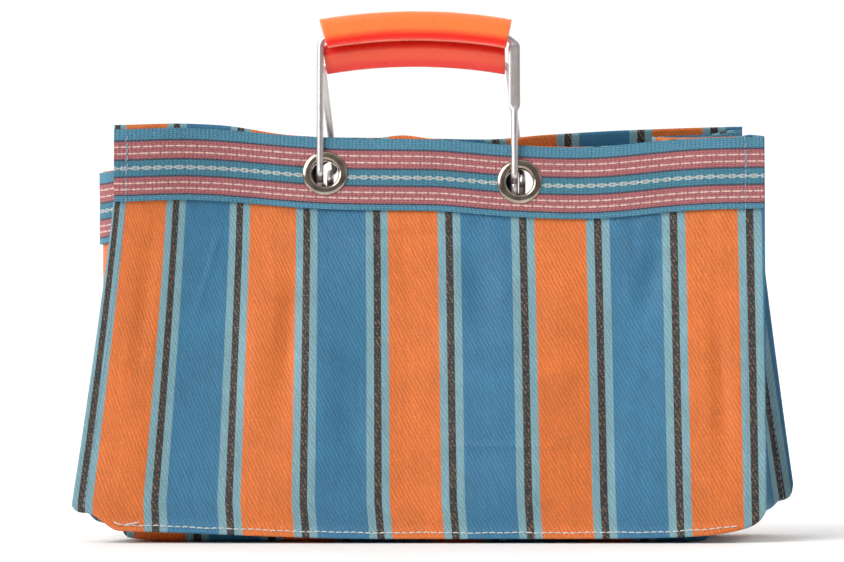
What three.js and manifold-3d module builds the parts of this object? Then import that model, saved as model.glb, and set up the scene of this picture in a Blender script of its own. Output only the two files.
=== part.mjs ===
// A striped woven-plastic market bag that stands open on its base, with two folding wire handles.
// Units are millimetres. +X is the bag's right as seen from the front, +Y is its back, +Z is up.
// The origin is under the middle of the bag, on the surface it stands on.
import * as THREE from "three";
import { mergeVertices } from "three/addons/utils/BufferGeometryUtils.js";
import Module from "manifold-3d";

const wasm = await Module();
wasm.setup();

// ---- driving dimensions ----
const CLOTH = 1.0; // woven sheet, with its seam allowance pressed flat
const TAPE = 1.2; // webbing round the mouth
const TAPE_WIDTH = 50;
const GAP = 0.3; // between pieces that lie on each other
const SEAM_LAYER = CLOTH + 2 * GAP; // middle of one cloth to the middle of the next, in a seam
const TAPE_OFFSET = CLOTH / 2 + 0.5 + TAPE / 2; // sewn on, not pressed flat
const GUSSET_TAPE_OFFSET = TAPE_OFFSET + 0.5; // stands off a little in the folds

const EDGE_TOP = 226.3; // half width of the mouth
const EDGE_FLARE = 28.5; // how much further out the leaning edge is at the base
const EDGE_STRAIGHT_FRONT = 229;
const EDGE_STRAIGHT_BACK = 228;
const FLARE_TOP_Z = 240;
const BACK_TOP_IN = 11; // the back's right edge is drawn in at the mouth
const FLARE_HEIGHT = 212;
const FIN = 11; // width of the pinched corner seams
const HEM_FIN = 9; // height of the pinched bottom seam
const HEM_FLARE = 6; // how far that seam stands out
const GUSSET_HEM_FLARE = 4.2;

const HALF_DEPTH_LOW = 60; // half of the bag's depth at LOW_Z
const LOW_Z = 10;
const HALF_DEPTH_HINGE = 17.5; // half depth at the eyelets
const HINGE_Z = 253.75;
const LEAN = THREE.MathUtils.degToRad(12.5); // lean of the mouth and of the handles

const EYELET_R = 15.8;
const EYELET_HOLE_R = 9.6;
const EYELET_WALL = 1.0;
const EYELET_DOME = 1.3;
const EYELET_SIDES = 20;
const WASHER = 1.0;
const EYELET_SPAN = 136.5; // between the two eyelets of one side
const EYELET_RISE = 3; // the left one sits this much over the hinge centre, the right one under it
const FRONT_HANDLE_X = -10.85;
const BACK_HANDLE_X = -5;

const WIRE_R = 2.5;
const WIRE_SIDES = 8;
const CRANK_OUT = 5.8; // leg in front of the middle of the wall
const CRANK_IN = 6.0; // tip behind it
const CRANK_BEND = 3.2;
const TIP_LENGTH = 11;
const BAIL_BEND = 7;
const ARCH_R = 371; // the grips are slightly arched
const FRONT_ARCH_Z = 105.2; // top of the wire over the hinge, along the lean
const REAR_ARCH_Z = 86.4;
const FRONT_GRIP_LENGTH = 130;
const REAR_GRIP_LENGTH = 127;
const PAD = { low: 51, high: 93, width: 8, thickness: 3.2 }; // flattened part of one leg

const THREAD_R = 0.4;

// ---- small helpers ----
const clamp01 = (value) => Math.min(1, Math.max(0, value));
const lerp = (a, b, t) => a + (b - a) * t;
const smooth = (value) => {
  const t = clamp01(value);
  return t * t * (3 - 2 * t);
};

// A smooth line through [place, height] points, as a function of place.
function profile(points) {
  const curve = new THREE.SplineCurve(points.map(([place, height]) => new THREE.Vector2(place, height)));
  const places = points.map(([place]) => place);
  return (place) => {
    const at = THREE.MathUtils.clamp(place, places[0], places.at(-1));
    const span = Math.max(1, places.findIndex((value) => value >= at));
    const share = (at - places[span - 1]) / (places[span] - places[span - 1]);
    return curve.getPoint((span - 1 + share) / (points.length - 1)).y;
  };
}

function material(color, roughness, metalness = 0) {
  return new THREE.MeshStandardMaterial({ color, roughness, metalness });
}

const looks = {
  cloth: material(0x3f7ba0, 0.55),
  base: material(0xc96a3c, 0.55),
  tape: material(0x9c4a52, 0.7),
  nickel: material(0xb9b2a8, 0.3, 1),
  wire: material(0xc8c6c4, 0.35, 1),
  grip: material(0xf0502c, 0.2),
  thread: material(0xe8e6df, 0.8),
};

const bag = new THREE.Group();

function addPiece(name, geometry, look, parent = bag) {
  const mesh = new THREE.Mesh(geometry, look);
  mesh.name = name;
  parent.add(mesh);
  return mesh;
}

// A sheet of even thickness round the surface place(u, v): a box whose points are moved there.
// shift moves the sheet off the surface, along the normal u x v.
function sheet(place, columns, rows, thickness, shift = 0) {
  const box = new THREE.BoxGeometry(1, 1, 1, columns, rows, 1);
  const points = box.getAttribute("position");
  for (let i = 0; i < points.count; i += 1) {
    const u = points.getX(i) + 0.5;
    const v = points.getY(i) + 0.5;
    const offset = shift + points.getZ(i) * thickness;
    const at = place(u, v).addScaledVector(normalAt(place, u, v), offset);
    points.setXYZ(i, at.x, at.y, at.z);
  }
  return box;
}

function normalAt(place, u, v) {
  const step = 1e-3;
  const along = place(Math.min(1, u + step), v).sub(place(Math.max(0, u - step), v));
  const up = place(u, Math.min(1, v + step)).sub(place(u, Math.max(0, v - step)));
  return along.cross(up).normalize();
}

// A path through chosen stations, so that bends get more steps than straight runs.
class StationPath extends THREE.Curve {
  constructor(stations) {
    super();
    this.stations = stations;
  }
  getPoint(t) {
    const last = this.stations.length - 1;
    const i = Math.min(last - 1, Math.floor(t * last));
    return this.stations[i].clone().lerp(this.stations[i + 1], t * last - i);
  }
  getPointAt(t) {
    return this.getPoint(t);
  }
  getTangentAt(t) {
    const half = 0.5 / (this.stations.length - 1);
    return this.getPoint(Math.min(1, t + half)).sub(this.getPoint(Math.max(0, t - half))).normalize();
  }
}

function tube(stations, radius, sides) {
  const section = new THREE.Shape();
  for (let i = 0; i < sides; i += 1) {
    const angle = (2 * Math.PI * (i + 0.5)) / sides;
    section[i ? "lineTo" : "moveTo"](radius * Math.cos(angle), radius * Math.sin(angle));
  }
  const extrudePath = new StationPath(stations);
  return new THREE.ExtrudeGeometry(section, { steps: stations.length - 1, extrudePath });
}

// The stations of a line with rounded corners; radii has a value for each inner corner.
function roundedLine(corners, radii, stepsPerBend) {
  const stations = [corners[0].clone()];
  for (let i = 1; i < corners.length - 1; i += 1) {
    const back = corners[i - 1].clone().sub(corners[i]).normalize();
    const ahead = corners[i + 1].clone().sub(corners[i]).normalize();
    const halfAngle = back.angleTo(ahead) / 2;
    if (radii[i - 1] === 0) {
      stations.push(corners[i].clone());
      continue;
    }
    const reach = radii[i - 1] / Math.tan(halfAngle);
    const middle = back.clone().add(ahead).normalize();
    const centre = corners[i].clone().addScaledVector(middle, radii[i - 1] / Math.sin(halfAngle));
    const from = corners[i].clone().addScaledVector(back, reach).sub(centre);
    const to = corners[i].clone().addScaledVector(ahead, reach).sub(centre);
    const turn = from.angleTo(to);
    const hingeLine = from.clone().cross(to).normalize();
    for (let step = 0; step <= stepsPerBend; step += 1) {
      const spoke = from.clone().applyAxisAngle(hingeLine, (turn * step) / stepsPerBend);
      stations.push(spoke.add(centre));
    }
  }
  stations.push(corners.at(-1).clone());
  return stations;
}

// ---- booleans ----
function toSolid(geometry) {
  const bare = geometry.clone();
  bare.deleteAttribute("normal");
  bare.deleteAttribute("uv");
  const merged = mergeVertices(bare, 1e-4);
  const vertProperties = new Float32Array(merged.getAttribute("position").array);
  const triVerts = new Uint32Array(merged.getIndex().array);
  return new wasm.Manifold(new wasm.Mesh({ numProp: 3, vertProperties, triVerts }));
}

function toGeometry(solid) {
  const mesh = solid.getMesh();
  const geometry = new THREE.BufferGeometry();
  geometry.setAttribute("position", new THREE.BufferAttribute(new Float32Array(mesh.vertProperties), 3));
  geometry.setIndex(new THREE.BufferAttribute(new Uint32Array(mesh.triVerts), 1));
  const flat = geometry.toNonIndexed();
  flat.computeVertexNormals();
  return flat;
}

// ---- the shape of the bag ----
// Half of the depth at the middle of the bag: a line that bends gently inwards to the mouth's lean.
const DEPTH_RUN = HINGE_Z - LOW_Z;
const DEPTH_END_SLOPE = -Math.tan(LEAN);
const DEPTH_MEAN_SLOPE = (HALF_DEPTH_HINGE - HALF_DEPTH_LOW) / DEPTH_RUN;
const DEPTH_BEND = (DEPTH_END_SLOPE - DEPTH_MEAN_SLOPE) / DEPTH_RUN;

function halfDepth(z) {
  const rise = z - LOW_Z;
  return HALF_DEPTH_LOW + (DEPTH_MEAN_SLOPE - DEPTH_BEND * DEPTH_RUN) * rise + DEPTH_BEND * rise * rise;
}

const edgeFlare = (z) => Math.pow(clamp01((FLARE_TOP_Z - z) / FLARE_HEIGHT), 1.1);
const leaningEdge = (z) => EDGE_TOP + EDGE_FLARE * edgeFlare(z);

// The two large walls. u runs from 0 at the left edge to 1 at the right edge.
const walls = {
  front: {
    sign: -1,
    leftX: (z) => -leaningEdge(z),
    rightX: () => EDGE_STRAIGHT_FRONT,
    lowEdge: (u) =>
      4.6 + 4.6 * smooth(1 - u / 0.45) + 18 * Math.exp(-u * 23) + 15.5 * Math.exp(-(1 - u) * 21.5),
    tapeTop: profile([
      [0, 287.4],
      [0.14, 288.2],
      [0.35, 281.8],
      [0.53, 280.4],
      [0.64, 276.4],
      [0.76, 275.2],
      [0.9, 281],
      [1, 282.4],
    ]),
    hem: (u) => 0.8 + 2.8 * smooth((0.3 - u) / 0.12),
    foldPhase: 0.4,
  },
  back: {
    sign: 1,
    leftX: () => -EDGE_STRAIGHT_BACK,
    rightX: (z) => leaningEdge(z) - BACK_TOP_IN * smooth((z - FLARE_TOP_Z) / 40),
    lowEdge: (u) => 4.6 + 2.4 * Math.exp(-u * 23) + 22 * Math.exp(-(1 - u) * 11),
    tapeTop: profile([
      [0, 283],
      [0.3, 282],
      [0.5, 281.2],
      [0.66, 280.4],
      [0.82, 283.6],
      [1, 284.6],
    ]),
    hem: (u) => 0.8 + 2 * smooth((u - 0.62) / 0.1),
    foldPhase: 2.1,
  },
};

const CORNER_OPEN_LEFT = 24; // the mouth stands open at its left end
const CORNER_OPEN_RIGHT = 10;
const FOLD_HEIGHT = 2.2;

function wallDepth(wall, u, z) {
  const upper = clamp01(z / 285);
  const leftEnd = CORNER_OPEN_LEFT * smooth((0.26 - u) / 0.26);
  const rightEnd = CORNER_OPEN_RIGHT * smooth((u - 0.72) / 0.28);
  const opened = upper * upper * (leftEnd + rightEnd);
  const foldArea = smooth((215 - z) / 90) * smooth(u / 0.1) * smooth((1 - u) / 0.1) * smooth((z - 12) / 40);
  const folds = FOLD_HEIGHT * Math.sin(2 * Math.PI * 3.2 * u + wall.foldPhase + 0.008 * z);
  const alongSeam = smooth((u - 0.02) / 0.06) * smooth((0.98 - u) / 0.06);
  const seam = HEM_FLARE * alongSeam * Math.pow(clamp01(1 - (z - wall.lowEdge(u)) / HEM_FIN), 2);
  return halfDepth(z) + opened + folds * foldArea + seam;
}

// The cloth is eased towards the left on its way up, so its stripes lean a little.
const easedShare = (u, lift) => u - 0.036 * lift * Math.sin(Math.PI * u);

function wallPoint(wall, u, z) {
  const x = lerp(wall.leftX(z), wall.rightX(z), easedShare(u, clamp01(z / 280)));
  return new THREE.Vector3(x, wall.sign * wallDepth(wall, u, z), z);
}

// u of the wall's point at a given x and z
function wallShare(wall, x, z) {
  let u = 0.5;
  for (let i = 0; i < 20; i += 1) u += (x - wallPoint(wall, u, z).x) / (wall.rightX(z) - wall.leftX(z));
  return u;
}

const clothTop = (wall, u) => wall.tapeTop(u) + wall.hem(u);

// ---- gussets: the narrow side walls, sewn to the large ones in pinched corner seams ----
const TURN = 4; // radius of the turn from the seam into the wall

const gussets = {
  left: {
    sign: -1,
    edgeOf: (wall, z) => wall.leftX(z),
    shareAtEdge: 0,
    bulge: (z) => -10 + 33 * smooth(z / 230),
    tuck: () => 0,
    droop: 28,
    midLow: 9,
  },
  right: {
    sign: 1,
    edgeOf: (wall, z) => wall.rightX(z),
    shareAtEdge: 1,
    bulge: (z) => 4 * smooth((130 - z) / 90),
    tuck: (z) => 56 * smooth((z - 60) / 215),
    droop: 3,
    midLow: 14,
  },
};

// Where a corner seam lies, inset from the wall's edge and one layer inside the wall.
function seamPoint(gusset, wall, z, inset) {
  const x = gusset.edgeOf(wall, z) - gusset.sign * inset;
  const depth = wallDepth(wall, wallShare(wall, x, z), z);
  return new THREE.Vector3(x, wall.sign * (depth - SEAM_LAYER - 0.4), z);
}

// Side of the gusset between its seams; s runs from -1 at the front to 1 at the back.
function gussetWall(gusset, s, z) {
  const front = seamPoint(gusset, walls.front, z, FIN + TURN);
  const back = seamPoint(gusset, walls.back, z, FIN + TURN);
  const point = front.lerp(back, (s + 1) / 2);
  point.x += gusset.sign * gusset.bulge(z) * (1 - s * s);
  point.x -= gusset.sign * gusset.tuck(z) * (1 - s * s);
  const seam = Math.pow(clamp01(1 - (z - gussetLow(gusset, s)) / HEM_FIN), 2);
  point.x += gusset.sign * GUSSET_HEM_FLARE * seam * (1 - Math.pow(s, 4));
  return point;
}

// Lowest edge of the gusset, level with the walls' edges at its two ends.
function gussetLow(gusset, s) {
  const shareF = Math.abs(gusset.shareAtEdge - 0.03);
  const ends = lerp(walls.front.lowEdge(shareF), walls.back.lowEdge(shareF), (s + 1) / 2) + 2;
  return lerp(gusset.midLow, ends, s * s);
}

// Lowest edge at q, which follows the wall's own edge in the two corner seams.
function gussetEdge(gusset, q) {
  const fromFin = Math.min(q, 1 - q) / FIN_SHARE;
  if (fromFin >= 1) return gussetLow(gusset, gussetAcross(q));
  const wall = q < 0.5 ? walls.front : walls.back;
  return wall.lowEdge(Math.abs(gusset.shareAtEdge - lerp(0.002, 0.03, fromFin))) + 2;
}

// q runs along the gusset's width, from the front seam's edge to the back seam's edge.
function gussetPoint(gusset, q, z) {
  const path = new THREE.CatmullRomCurve3(
    [
      seamPoint(gusset, walls.front, z, 1),
      seamPoint(gusset, walls.front, z, FIN * 0.5),
      seamPoint(gusset, walls.front, z, FIN),
      gussetWall(gusset, -0.88, z),
      gussetWall(gusset, -0.45, z),
      gussetWall(gusset, 0, z),
      gussetWall(gusset, 0.45, z),
      gussetWall(gusset, 0.88, z),
      seamPoint(gusset, walls.back, z, FIN),
      seamPoint(gusset, walls.back, z, FIN * 0.5),
      seamPoint(gusset, walls.back, z, 1),
    ],
    false,
    "centripetal",
  );
  return path.getPoint(q);
}

const FIN_SHARE = 0.2; // of the gusset's width, at each corner seam
const gussetAcross = (q) => THREE.MathUtils.clamp((q - 0.5) / 0.3, -1, 1);

function gussetTop(gusset, q) {
  const corner = gusset.shareAtEdge;
  const ends = lerp(walls.front.tapeTop(corner), walls.back.tapeTop(corner), q);
  return ends - gusset.droop * Math.pow(Math.cos((Math.PI / 2) * gussetAcross(q)), 2);
}

// ---- cloth pieces ----
const WALL_COLUMNS = 26;
const GUSSET_COLUMNS = 20;
const SEAM_ROWS = 2;
const BODY_ROWS = 6;
const TAPE_ROWS = 2;

// Heights of a cloth's rows: close together in the bottom seam, and level with the webbing's rows above.
function rowLevels(low, tapeTop, top) {
  const tapeLow = tapeTop - TAPE_WIDTH;
  const levels = [];
  for (let i = 0; i < SEAM_ROWS; i += 1) levels.push(low + (HEM_FIN * i) / SEAM_ROWS);
  for (let i = 0; i < BODY_ROWS; i += 1) levels.push(lerp(low + HEM_FIN, tapeLow, i / BODY_ROWS));
  for (let i = 0; i <= TAPE_ROWS; i += 1) levels.push(lerp(tapeLow, tapeTop, i / TAPE_ROWS));
  return [...levels, top];
}

function levelAt(levels, v) {
  const place = v * (levels.length - 1);
  const i = Math.min(levels.length - 2, Math.floor(place + 1e-9));
  return lerp(levels[i], levels[i + 1], place - i);
}

// Columns stand closer together towards the corner seams.
const columnShare = (t) => t - 0.09 * Math.sin(2 * Math.PI * t);

const CLOTH_ROWS = SEAM_ROWS + BODY_ROWS + TAPE_ROWS + 1;

function addWall(name, wall, holes) {
  const surface = (column, v) => {
    const u = columnShare(column);
    const levels = rowLevels(wall.lowEdge(u), wall.tapeTop(u), clothTop(wall, u));
    return wallPoint(wall, u, levelAt(levels, v));
  };
  let solid = toSolid(sheet(surface, WALL_COLUMNS, CLOTH_ROWS, CLOTH));
  for (const hole of holes) solid = solid.subtract(hole);
  addPiece(name, toGeometry(solid), looks.cloth);
}

function addWallTape(name, wall, holes) {
  const surface = (column, v) => {
    const u = columnShare(column);
    return wallPoint(wall, u, wall.tapeTop(u) - TAPE_WIDTH * (1 - v));
  };
  let solid = toSolid(sheet(surface, WALL_COLUMNS, TAPE_ROWS, TAPE, -wall.sign * TAPE_OFFSET));
  for (const hole of holes) solid = solid.subtract(hole);
  addPiece(name, toGeometry(solid), looks.tape);
}

function addGusset(name, gusset) {
  const surface = (q, v) => {
    const top = gussetTop(gusset, q);
    return gussetPoint(gusset, q, levelAt(rowLevels(gussetEdge(gusset, q), top, top + 1), v));
  };
  addPiece(`${name}_gusset`, sheet(surface, GUSSET_COLUMNS, CLOTH_ROWS, CLOTH), looks.cloth);
  const tapeSurface = (q, v) => gussetPoint(gusset, q, gussetTop(gusset, q) - TAPE_WIDTH * (1 - v));
  const tape = sheet(tapeSurface, GUSSET_COLUMNS, TAPE_ROWS, TAPE, gusset.sign * GUSSET_TAPE_OFFSET);
  addPiece(`${name}_webbing`, tape, looks.tape);
}

// ---- base: a shallow tray whose rim is pinched into the bottom seams ----
const RIM_RISE = 7; // height of the rim over its edge
const RIM_IN = 7;
const RIM_FLAT = 10;
const TRAY_IN = 27;
const FLOOR = CLOTH / 2;
const END_LIFT_LEFT = 5; // the base's ends curl up off the floor
const END_LIFT_RIGHT = 9;
const RIM_LAYER = SEAM_LAYER + 0.2;
const RIM_LIFT = 0.6;
const CORNER_BLEND = 9;
const CORNER_ROUND = 4;

function trayHeight(distance, edgeZ, floorZ) {
  if (distance < RIM_IN) return edgeZ + (RIM_RISE * distance) / RIM_IN;
  return lerp(edgeZ + RIM_RISE, floorZ, smooth((distance - RIM_FLAT) / (TRAY_IN - RIM_FLAT)));
}

// Where the base ends, just inside a gusset.
function baseEnd(gusset, s) {
  const inset = 3;
  return gussetWall(gusset, s * 0.98, gussetLow(gusset, s * 0.98) + 1).x - gusset.sign * inset;
}

function basePoint(a, b) {
  const across = 2 * a - 1;
  const along = 2 * b - 1;
  const roundA = across * (1 - 0.05 * Math.pow(along, 6));
  const roundB = along * (1 - 0.12 * Math.pow(across, 8));
  const leftX = baseEnd(gussets.left, roundB);
  const rightX = baseEnd(gussets.right, roundB);
  const x = lerp(leftX, rightX, (roundA + 1) / 2);
  const frontZ = walls.front.lowEdge(wallShare(walls.front, x, LOW_Z));
  const backZ = walls.back.lowEdge(wallShare(walls.back, x, LOW_Z));
  const frontY = wallPoint(walls.front, wallShare(walls.front, x, frontZ), frontZ + RIM_LIFT).y + RIM_LAYER;
  const backY = wallPoint(walls.back, wallShare(walls.back, x, backZ), backZ + RIM_LIFT).y - RIM_LAYER;
  const y = lerp(frontY, backY, (roundB + 1) / 2);
  const gaps = [y - frontY, backY - y, x - leftX, rightX - x].map((gap) => Math.max(gap, 0));
  const heights = [frontZ, backZ, gussetLow(gussets.left, roundB), gussetLow(gussets.right, roundB)];
  // The rim's height blends from one side's seam to the next round each corner.
  const weights = gaps.map((gap) => Math.exp(-gap / CORNER_BLEND));
  const total = weights.reduce((sum, weight) => sum + weight, 1e-9);
  const edgeZ = heights.reduce((sum, height, i) => sum + height * weights[i], 0) / total;
  const crowding = gaps.reduce((sum, gap) => sum + Math.exp(-gap / CORNER_ROUND), 0);
  const nearest = Math.max(0, -CORNER_ROUND * Math.log(crowding));
  const floorZ = FLOOR + END_LIFT_RIGHT * smooth((x - 175) / 75) + END_LIFT_LEFT * smooth((-x - 185) / 65);
  return new THREE.Vector3(x, y, trayHeight(nearest, edgeZ, floorZ));
}

// ---- eyelets ----
function wallFrame(wall, x, z) {
  const outward = new THREE.Vector3(0, wall.sign * Math.cos(LEAN), Math.sin(LEAN));
  const at = new THREE.Vector3(x, wall.sign * halfDepth(z), z);
  return { at, outward };
}

function onWall(wall, x, z) {
  const { at, outward } = wallFrame(wall, x, z);
  const group = new THREE.Group();
  group.position.copy(at);
  group.quaternion.setFromUnitVectors(new THREE.Vector3(0, 1, 0), outward);
  group.updateMatrixWorld(true);
  return group;
}

function eyeletHole(holder) {
  const radius = EYELET_HOLE_R + EYELET_WALL + GAP;
  const cutter = new THREE.CylinderGeometry(radius, radius, 12, EYELET_SIDES);
  return toSolid(cutter.applyMatrix4(holder.matrixWorld));
}

const FLANGE_FOOT = TAPE_OFFSET + TAPE / 2 + GAP;
const WASHER_TOP = -CLOTH / 2 - GAP;
const ROLL_TOP = WASHER_TOP - WASHER - 0.25;

function lathe(outline, segments) {
  const closed = [...outline, outline[0]];
  return new THREE.LatheGeometry(closed.map(([r, y]) => new THREE.Vector2(r, y)), segments);
}

// Barrel with a domed flange outside and a rolled lip inside that holds the washer.
function eyeletGeometry() {
  const barrel = EYELET_HOLE_R + EYELET_WALL;
  const dome = FLANGE_FOOT + EYELET_DOME;
  return lathe(
    [
      [EYELET_HOLE_R, ROLL_TOP - 0.6],
      [barrel + 1.6, ROLL_TOP - 0.6],
      [barrel + 1.6, ROLL_TOP],
      [barrel, ROLL_TOP],
      [barrel, FLANGE_FOOT],
      [EYELET_R, FLANGE_FOOT],
      [EYELET_R - 0.6, FLANGE_FOOT + 0.75],
      [EYELET_R - 2.6, dome],
      [EYELET_HOLE_R + 1.6, dome],
      [EYELET_HOLE_R, dome - 1.2],
    ],
    EYELET_SIDES,
  );
}

function washerGeometry() {
  const inner = EYELET_HOLE_R + EYELET_WALL + GAP;
  const outer = EYELET_R - 0.6;
  return lathe(
    [
      [inner, WASHER_TOP - WASHER],
      [outer, WASHER_TOP - WASHER],
      [outer, WASHER_TOP],
      [inner, WASHER_TOP],
    ],
    EYELET_SIDES,
  );
}

// ---- handles ----
// A bail lies in its own frame: x across, z up along the lean, y into the bag (side 1) or out (-1).
function bailStations({ side, legLeft, legRight, topLeft, topRight, archZ }) {
  const out = -CRANK_OUT * side;
  const inside = CRANK_IN * side;
  const archHeight = (x) => archZ - (x - (topLeft + topRight) / 2) ** 2 / (2 * ARCH_R);
  const corners = [
    new THREE.Vector3(legLeft, inside, EYELET_RISE - TIP_LENGTH),
    new THREE.Vector3(legLeft, inside, EYELET_RISE),
    new THREE.Vector3(legLeft, out, EYELET_RISE),
    new THREE.Vector3(topLeft, out, archHeight(topLeft)),
  ];
  const radii = [CRANK_BEND, CRANK_BEND, BAIL_BEND];
  const archSteps = 8;
  const archEnd = (topRight - topLeft) / 2 - BAIL_BEND * 1.3;
  for (let i = 0; i <= archSteps; i += 1) {
    const x = (topLeft + topRight) / 2 + lerp(-archEnd, archEnd, i / archSteps);
    corners.push(new THREE.Vector3(x, out, archHeight(x)));
    radii.push(0);
  }
  corners.push(
    new THREE.Vector3(topRight, out, archHeight(topRight)),
    new THREE.Vector3(legRight, out, -EYELET_RISE),
    new THREE.Vector3(legRight, inside, -EYELET_RISE),
    new THREE.Vector3(legRight, inside, -EYELET_RISE - TIP_LENGTH),
  );
  radii.push(BAIL_BEND, CRANK_BEND, CRANK_BEND);
  return roundedLine(corners, radii, 4);
}

function gripShape({ lipLow, backLow, halfWidth, top }) {
  const slot = WIRE_R + 0.35;
  const wall = slot + 0.5;
  const shape = new THREE.Shape();
  // Shape x runs towards the front of the grip and shape y downwards.
  shape.moveTo(halfWidth - 0.8, -lipLow);
  shape.quadraticCurveTo(halfWidth + 0.4, -lipLow * 0.3, halfWidth, -top * 0.35);
  shape.quadraticCurveTo(halfWidth - 0.6, -top, 0, -top);
  shape.quadraticCurveTo(-halfWidth + 0.6, -top, -halfWidth, -top * 0.35);
  shape.lineTo(-halfWidth + 0.6, -backLow);
  shape.lineTo(-wall, -backLow);
  shape.lineTo(-slot, 0);
  shape.absarc(0, 0, slot, Math.PI, 2 * Math.PI, false);
  shape.lineTo(wall, -lipLow);
  return shape;
}

function gripGeometry(shape, length, centreX, y, archZ) {
  const stations = [];
  const steps = 10;
  const halfAngle = length / 2 / ARCH_R;
  for (let i = 0; i <= steps; i += 1) {
    const angle = lerp(-halfAngle, halfAngle, i / steps);
    const drop = ARCH_R * (1 - Math.cos(angle));
    stations.push(new THREE.Vector3(centreX + ARCH_R * Math.sin(angle), y, archZ - drop));
  }
  const extrudePath = new StationPath(stations);
  return new THREE.ExtrudeGeometry(shape, { steps, curveSegments: 4, extrudePath });
}

// A flattened length of one leg: the wire is cut to the pad's thickness and widened.
function padded(wire, x, y) {
  const outline = new THREE.Shape();
  const half = PAD.width / 2;
  const taper = 5;
  outline.moveTo(-WIRE_R * 0.8, PAD.low - taper);
  outline.lineTo(WIRE_R * 0.8, PAD.low - taper);
  outline.lineTo(half, PAD.low);
  outline.lineTo(half, PAD.high);
  outline.lineTo(WIRE_R * 0.8, PAD.high + taper);
  outline.lineTo(-WIRE_R * 0.8, PAD.high + taper);
  outline.lineTo(-half, PAD.high);
  outline.lineTo(-half, PAD.low);
  const plate = new THREE.ExtrudeGeometry(outline, { depth: PAD.thickness, bevelEnabled: false });
  plate.rotateX(Math.PI / 2).translate(x, y + PAD.thickness / 2, 0);
  let solid = toSolid(wire);
  for (const side of [-1, 1]) {
    const block = new THREE.BoxGeometry(PAD.width, 4, PAD.high - PAD.low);
    block.translate(x, y + side * (PAD.thickness / 2 + 2), (PAD.high + PAD.low) / 2);
    solid = solid.subtract(toSolid(block));
  }
  return toGeometry(solid.add(toSolid(plate)));
}

function handleFrame(wall, centreX) {
  const outwardShift = (TAPE_OFFSET + TAPE / 2 - CLOTH / 2) / 2; // middle of the cloth and tape together
  const { at, outward } = wallFrame(wall, centreX, HINGE_Z);
  const frame = new THREE.Group();
  frame.position.copy(at.addScaledVector(outward, outwardShift));
  frame.rotation.x = wall.sign * LEAN;
  bag.add(frame);
  return frame;
}

// ---- threads ----
function seamThread(wall, places) {
  const stations = places.map(([u, z]) => {
    const surface = (s, t) => wallPoint(wall, s, z + (t - 0.5) * 10);
    const onTape = smooth((z - (wall.tapeTop(u) - TAPE_WIDTH - 8)) / 6);
    const height = lerp(CLOTH / 2, TAPE_OFFSET + TAPE / 2, onTape) + 2 * GAP + THREAD_R;
    return wallPoint(wall, u, z).addScaledVector(normalAt(surface, u, 0.5), -wall.sign * height);
  });
  return tube(stations, THREAD_R, 4);
}

function cornerThread(wall, inset, atRight) {
  const places = [];
  const rows = 16;
  for (let i = 0; i <= rows; i += 1) {
    const z = lerp(30, 281, i / rows);
    const x = atRight ? wall.rightX(z) - inset : wall.leftX(z) + inset;
    places.push([wallShare(wall, x, z), z]);
  }
  return seamThread(wall, places);
}

function hemThread(wall) {
  const places = [];
  const columns = 24;
  for (let i = 0; i <= columns; i += 1) {
    const u = lerp(0.075, 0.965, i / columns);
    places.push([u, wall.lowEdge(u) + 3.4]);
  }
  return seamThread(wall, places);
}

// ---- assembly ----
const SEAM_INSET = 8.4; // from the edge of the cloth to its corner seam
const WIDE_SEAM_INSET = 13.5;
const sides = [
  { name: "front", wall: walls.front, centreX: FRONT_HANDLE_X, rightInset: WIDE_SEAM_INSET },
  { name: "back", wall: walls.back, centreX: BACK_HANDLE_X, rightInset: SEAM_INSET },
];

for (const { name, wall, centreX, rightInset } of sides) {
  const holders = [-1, 1].map((end) => {
    const rise = -end * EYELET_RISE * Math.cos(LEAN);
    return onWall(wall, centreX + (end * EYELET_SPAN) / 2, HINGE_Z + rise);
  });
  const holes = holders.map(eyeletHole);
  addWall(`${name}_panel`, wall, holes);
  addWallTape(`${name}_webbing`, wall, holes);
  holders.forEach((holder, i) => {
    const end = i ? "right" : "left";
    bag.add(holder);
    addPiece(`${name}_${end}_eyelet`, eyeletGeometry(), looks.nickel, holder);
    addPiece(`${name}_${end}_washer`, washerGeometry(), looks.nickel, holder);
  });
  addPiece(`${name}_left_seam_thread`, cornerThread(wall, SEAM_INSET, false), looks.thread);
  addPiece(`${name}_right_seam_thread`, cornerThread(wall, rightInset, true), looks.thread);
  addPiece(`${name}_hem_thread`, hemThread(wall), looks.thread);
}

addGusset("left", gussets.left);
addGusset("right", gussets.right);
addPiece("base_panel", sheet(basePoint, 22, 12, CLOTH), looks.base);

const LEG_SHIFT = 3.5; // the front legs hang to the left in their eyelets
const frontLeft = -EYELET_SPAN / 2 - LEG_SHIFT;
const frontRight = EYELET_SPAN / 2 - LEG_SHIFT;
const frontFrame = handleFrame(walls.front, FRONT_HANDLE_X);
const frontWire = tube(
  bailStations({
    side: 1,
    legLeft: frontLeft,
    legRight: frontRight,
    topLeft: frontLeft,
    topRight: frontRight,
    archZ: FRONT_ARCH_Z,
  }),
  WIRE_R,
  WIRE_SIDES,
);
addPiece("front_bail_wire", padded(frontWire, frontRight, -CRANK_OUT), looks.wire, frontFrame);
const frontGrip = gripShape({ lipLow: -7.3, backLow: -1.5, halfWidth: 7.5, top: 14 });
const gripX = (frontLeft + frontRight) / 2 - 0.7;
const frontGripBody = gripGeometry(frontGrip, FRONT_GRIP_LENGTH, gripX, -CRANK_OUT, FRONT_ARCH_Z);
addPiece("front_grip", frontGripBody, looks.grip, frontFrame);

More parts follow.
